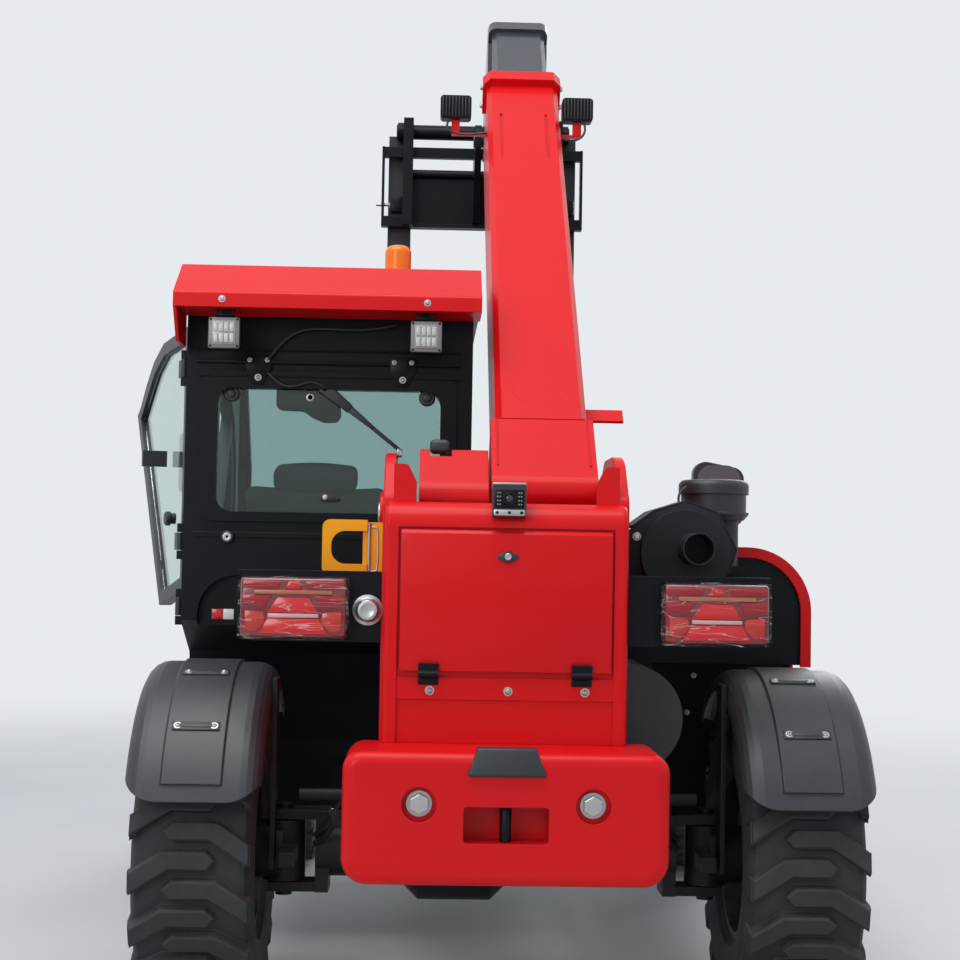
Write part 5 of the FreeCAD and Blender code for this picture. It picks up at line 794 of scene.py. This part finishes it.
def on_boom(x, along, up):
    """A place on the boom: across the machine, along the boom from its pin, and up from its middle line."""
    return at(x, PIN_Y + along * math.cos(BOOM_ANGLE) - up * math.sin(BOOM_ANGLE),
              PIN_Z + along * math.sin(BOOM_ANGLE) + up * math.cos(BOOM_ANGLE))


def fit_boom_parts():
    """Weld beads on the boom's foot, bolts of the wear pads, and keepers of the pivot pin."""
    beads = [pipe([on_boom(BOOM_X + side * 121, along, 176.5) for along in (4, 60, 130, 196)], 3.2)
        for side in (-1, 1)]
    beads.append(pipe([on_boom(BOOM_X + across, 206, 176) for across in (-116, -40, 40, 116)], 3.0))
    fitted("weld_beads", "outer_boom", painted("red_paint", *beads))
    bolts = []
    for side in (-1, 1):
        for up in (80, 150):
            bolts += hex_bolt(on_boom(BOOM_X + side * 135.5, 2148, up), (side, 0, 0), 10, 9)
    fitted("wear_pad_bolts", "outer_boom", painted("zinc", *bolts))
    keepers = []
    for side in (-1, 1):
        keepers += painted("zinc", turned(at(side * 322, PIN_Y, PIN_Z), (side, 0, 0),
                                          [(0, 36), (4, 36), (6, 33), (6.2, 12), (4, 10)], 36))
        keepers += painted("black_frame", block((side * 322 - 3, -80, 1238), (side * 322 + 3, -20, 1262), 2))
        for along in (-68, -32):
            keepers += painted("zinc", *hex_bolt(at(side * 324, along, 1250), (side, 0, 0), 8, 8))
    fitted("pivot_keepers", "chassis", keepers)


def fit_hood_and_front():
    """The hood's louvres and lock, the work lamps at the front, the cab's levers and pedals, and a rail."""
    louvres = [block((906, 730, 640), (909.5, 1430, 940), 3)]
    fin = ((908, 662), (916, 655), (916, 658), (908, 672))
    louvres += [plate([at(x, 750, z + 22 * row) for x, z in fin], (0, 0.66, 0), 0.8) for row in range(12)]
    fitted("hood_louvres", "hood", painted("black_plastic", *louvres))
    case = ((-40, -14), (40, -14), (46, -6), (46, 6), (40, 14), (-40, 14), (-46, 6), (-46, -6))
    lock = painted("black_plastic", plate([at(905, 1080 + y, 600 + z) for y, z in case], (0.008, 0, 0), 2))
    lock += painted("zinc", turned(at(912, 1080, 600), (1, 0, 0), [(0, 9), (3, 9), (4, 7), (2, 3)], 24))
    fitted("hood_lock", "hood", lock)
    lamps = []
    for side in (-1, 1):
        middle = 190 * side
        lamps += painted("black_plastic", slab(middle, 52, (2440, 2486), (588, 676), 8, 3),
                         slab(middle, 14, (2420, 2460), (560, 600), 3))
        lamps += painted("lamp_bezel", slab(middle, 48, (2482, 2490), (592, 672), 8, 3))
        lamps += painted("led_pale", slab(middle, 40, (2486, 2493), (600, 664), 6, 3))
        lamps += painted("led_bright", *[
            turned(at(middle + x, 2492, 632 + z), (0, 1, 0), [(0, 12), (3, 10), (5, 4)], 16)
            for x in (-22, 22) for z in (-15, 15)])
    fitted("front_lamps", "chassis", lamps)
    stick = [(0, 26), (10, 26), (22, 15), (34, 9), (92, 8), (96, 17), (120, 21), (150, 20), (168, 12),
             (172, 4)]
    levers = painted("black_plastic", turned(at(-300, 905, 1155), (0.05, 0.15, 1), stick, 24),
                     slab(-484, 36, (1085, 1100), (1196, 1252), 5))
    pedals = (-560, -430)
    levers += painted("chrome_rod", *[turned(at(x, 1260, 700), (0, -0.3, 1), [(0, 9), (70, 9)], 16)
        for x in pedals])
    levers += painted("black_plastic", *[slab(x, 32, (1196, 1254), (742, 756), 4) for x in pedals])
    fitted("cab_levers", "chassis", levers)
    bends = ((1690, 1130), (1722, 1134), (1724, 1200), (1724, 1420), (1722, 1500), (1690, 1504))
    rail = pipe([at(-866, y, z) for y, z in bends], 9)
    fitted("grab_rail", "chassis", painted("black_frame", rail))


def fit_locks_and_pipes():
    """Locks of the forks on the carriage, and the clamped steel pipes that run out to the rear brakes."""
    locks = painted("black_frame", *[slab(x, 28, (2540, 2578), (2606, 2672), 5) for x in (-350, 352)])
    locks += painted("zinc", turned(at(-436, 2566, 2639), (1, 0, 0), [(0, 5), (2, 7), (60, 7)], 16),
                     *hex_bolt(at(-372, 2566, 2639), (-1, 0, 0), 12, 10))
    fitted("fork_locks", "carriage", locks)
    bends = ((300, -66, 575), (360, -76, 572), (412, -88, 548), (432, -92, 508), (452, -84, 478),
             (476, -66, 460))
    pipes = [pipe([at(side * x, y, z + shift) for x, y, z in bends], 8)
             for side in (-1, 1) for shift in (0, -22)]
    pipes += [slab(side * 418, 17, (-112, -72), (486, 530), 4) for side in (-1, 1)]
    fitted("brake_pipes", "chassis", painted("cast_black", *pipes))


# Free cords: name, body, diameter, and the places that each one's curve is drawn towards
CORDS = (
    ("roof_lead", "chassis", 8, (
        (-297, 334, 1856), (-340, 333, 1846), (-420, 332, 1838), (-500, 332, 1843), (-570, 332, 1838),
        (-618, 331, 1806), (-646, 331, 1772), (-662, 331, 1750))),
    ("wiper_lead", "chassis", 8, (
        (-662, 330, 1712), (-640, 328, 1690), (-612, 328, 1672), (-575, 330, 1676), (-545, 332, 1688),
        (-518, 336, 1684), (-502, 340, 1676))),
    ("cleaner_lead", "chassis", 7, (
        (520, 108, 1318), (500, 92, 1330), (488, 88, 1356), (492, 90, 1384), (512, 104, 1398))),
    ("lamp_lead_right", "outer_boom", 8, (
        (302, 1222, 2684), (316, 1220, 2656), (304, 1218, 2622), (268, 1216, 2606), (228, 1212, 2616))),
    ("lamp_lead_left", "outer_boom", 8, (
        (-142, 1222, 2684), (-162, 1220, 2658), (-148, 1218, 2632), (-96, 1216, 2618), (-22, 1214, 2630))),
)


def fit_cords():
    """Leads of the lamps and the wiper, and the pre-cleaner's loop, each a round curve that rides on its
    body.
    """
    for name, body, diameter, marks in CORDS:
        places = [at(*mark) for mark in marks]
        bare = smooth_line(name, places, 0.0)
        mesh = bpy.data.meshes.new_from_object(bare)
        bpy.data.meshes.remove(mesh)
        bpy.data.objects.remove(bare)
        cord = smooth_line(name, places, diameter / 2000)
        cord.data.materials.append(MATERIALS["black_plastic"])
        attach(cord, body)


# Seat
def cushion(low, high, lean, pivot, channels):
    """A padded block: crowned outwards, its sides pulled in between the corners, with sewn channels."""
    deselect()
    middle = [(first + last) / 2 for first, last in zip(low, high)]
    size = Vector([(last - first) / 1000 for first, last in zip(low, high)])
    bpy.ops.mesh.primitive_cube_add(size=1.0, scale=size)
    bpy.ops.object.transform_apply()
    pad = bpy.context.object
    with editing("EDGE"):
        bpy.ops.mesh.bevel(offset=min(size) * 0.30, segments=3, affect="EDGES", clamp_overlap=True)
        bpy.ops.mesh.select_all(action="SELECT")
        bpy.ops.mesh.subdivide(number_cuts=4, smoothness=0.0)
    thin = min(range(3), key=lambda axis: size[axis])
    wide = [axis for axis in range(3) if axis != thin]
    for vertex in pad.data.vertices:
        share = [vertex.co[axis] * 2 / size[axis] for axis in wide]
        level = vertex.co[thin] * 2 / size[thin]
        crown = (1 - share[0] ** 2) * (1 - share[1] ** 2)
        vertex.co[thin] += level * crown * 0.012
        for axis, own, other in ((wide[0], share[0], share[1]), (wide[1], share[1], share[0])):
            vertex.co[axis] -= own * abs(own) ** 3 * (1 - other ** 2) * 0.010
        sewn = min(abs(share[0] - line) for line in channels)
        vertex.co[thin] -= level * 0.010 * math.exp(-(sewn / 0.045) ** 2) * (1 - share[1] ** 6)
    pad.data.transform(Matrix.Translation(at(*middle)))
    turn = at(*pivot)
    pad.data.transform(Matrix.Translation(turn) @ Matrix.Rotation(math.radians(lean), 4, "X")
        @ Matrix.Translation(-turn))
    soften = pad.modifiers.new("soften", "SUBSURF")
    soften.levels = soften.render_levels = 1
    return pad


def fit_seat():
    """Cushion, backrest and head roll instead of the plain seat, and the stand with bellows and rests."""
    pads = {"seat_cushion": ((-750, 610, 968), (-310, 1085, 1052), 2.0, (-530, 850, 1000), (-0.5, 0.5)),
            "seat_back": ((-740, 545, 1040), (-320, 640, 1400), 9.5, (-530, 600, 1050), (-0.5, 0.5)),
            "seat_head_roll": ((-660, 480, 1385), (-400, 560, 1454), 9.5, (-530, 520, 1400), (-2, 2))}
    for name, facts in pads.items():
        replaces = ["seat"] if name == "seat_cushion" else ()
        piece = fitted(name, "chassis", painted("seat_cover", cushion(*facts)), replaces, 80.0)
    stand = [block((-690, 680, 686), (-370, 1010, 720), 6)]
    stand += [slab(-530, 130 - 4 * fold, (705 + 3 * fold, 985 - 3 * fold),
                   (720 + 36 * fold, 752 + 36 * fold), 12, 3) for fold in range(5)]
    stand += [slab(-530, 170, (640, 1030), (900, 966), 8), slab(-767, 15, (600, 900), (1120, 1160), 12, 3),
              slab(-293, 15, (600, 900), (1120, 1160), 12, 3)]
    fitted("seat_stand", "chassis", painted("black_plastic", *stand))


fit_wheels()
fit_tail_lamps()
fit_rear_housing()
fit_counterweight()
fit_fender_plates()
fit_cab_rear()
fit_cab_lamps()
fit_small_things()
fit_service_door()
fit_boom_parts()
fit_hood_and_front()
fit_locks_and_pipes()
fit_cords()
fit_seat()


# Floor
def lay_floor():
    """A pale floor that fades into the backdrop as far as the camera sees it."""
    deselect()
    bpy.ops.mesh.primitive_plane_add(size=80.0, location=(0.0, 0.0, -0.001))
    floor = bpy.context.object
    floor.name = "studio_floor"
    material, wiring = new_material("studio_floor")
    place = wiring.add("TexCoord").outputs["Object"]
    stains = wiring.add("TexNoise", Vector=place, Scale=0.8, Detail=6.0, Roughness=0.6).outputs[0]
    colour = wiring.mixed(stains, (0.50, 0.51, 0.53, 1.0), (0.62, 0.63, 0.64, 1.0))
    lit = wiring.add("BsdfPrincipled", Base_Color=colour, Roughness=0.55)
    glow = wiring.add("Emission", Color=(0.80, 0.83, 0.86, 1.0), Strength=1.0)
    reach = wiring.add("VectorMath", dict(operation="LENGTH"), slot0=place).outputs[1]
    far = wiring.add("MapRange", dict(interpolation_type="SMOOTHSTEP"), slot0=reach, slot1=3.0,
        slot2=9.0).outputs[0]
    seen = wiring.sum("MULTIPLY", far, wiring.add("LightPath").outputs["Is Camera Ray"])
    mix = wiring.add("MixShader", slot0=seen, slot1=lit.outputs[0], slot2=glow.outputs[0])
    wiring.add("OutputMaterial", Surface=mix.outputs[0])
    floor.data.materials.append(material)


lay_floor()
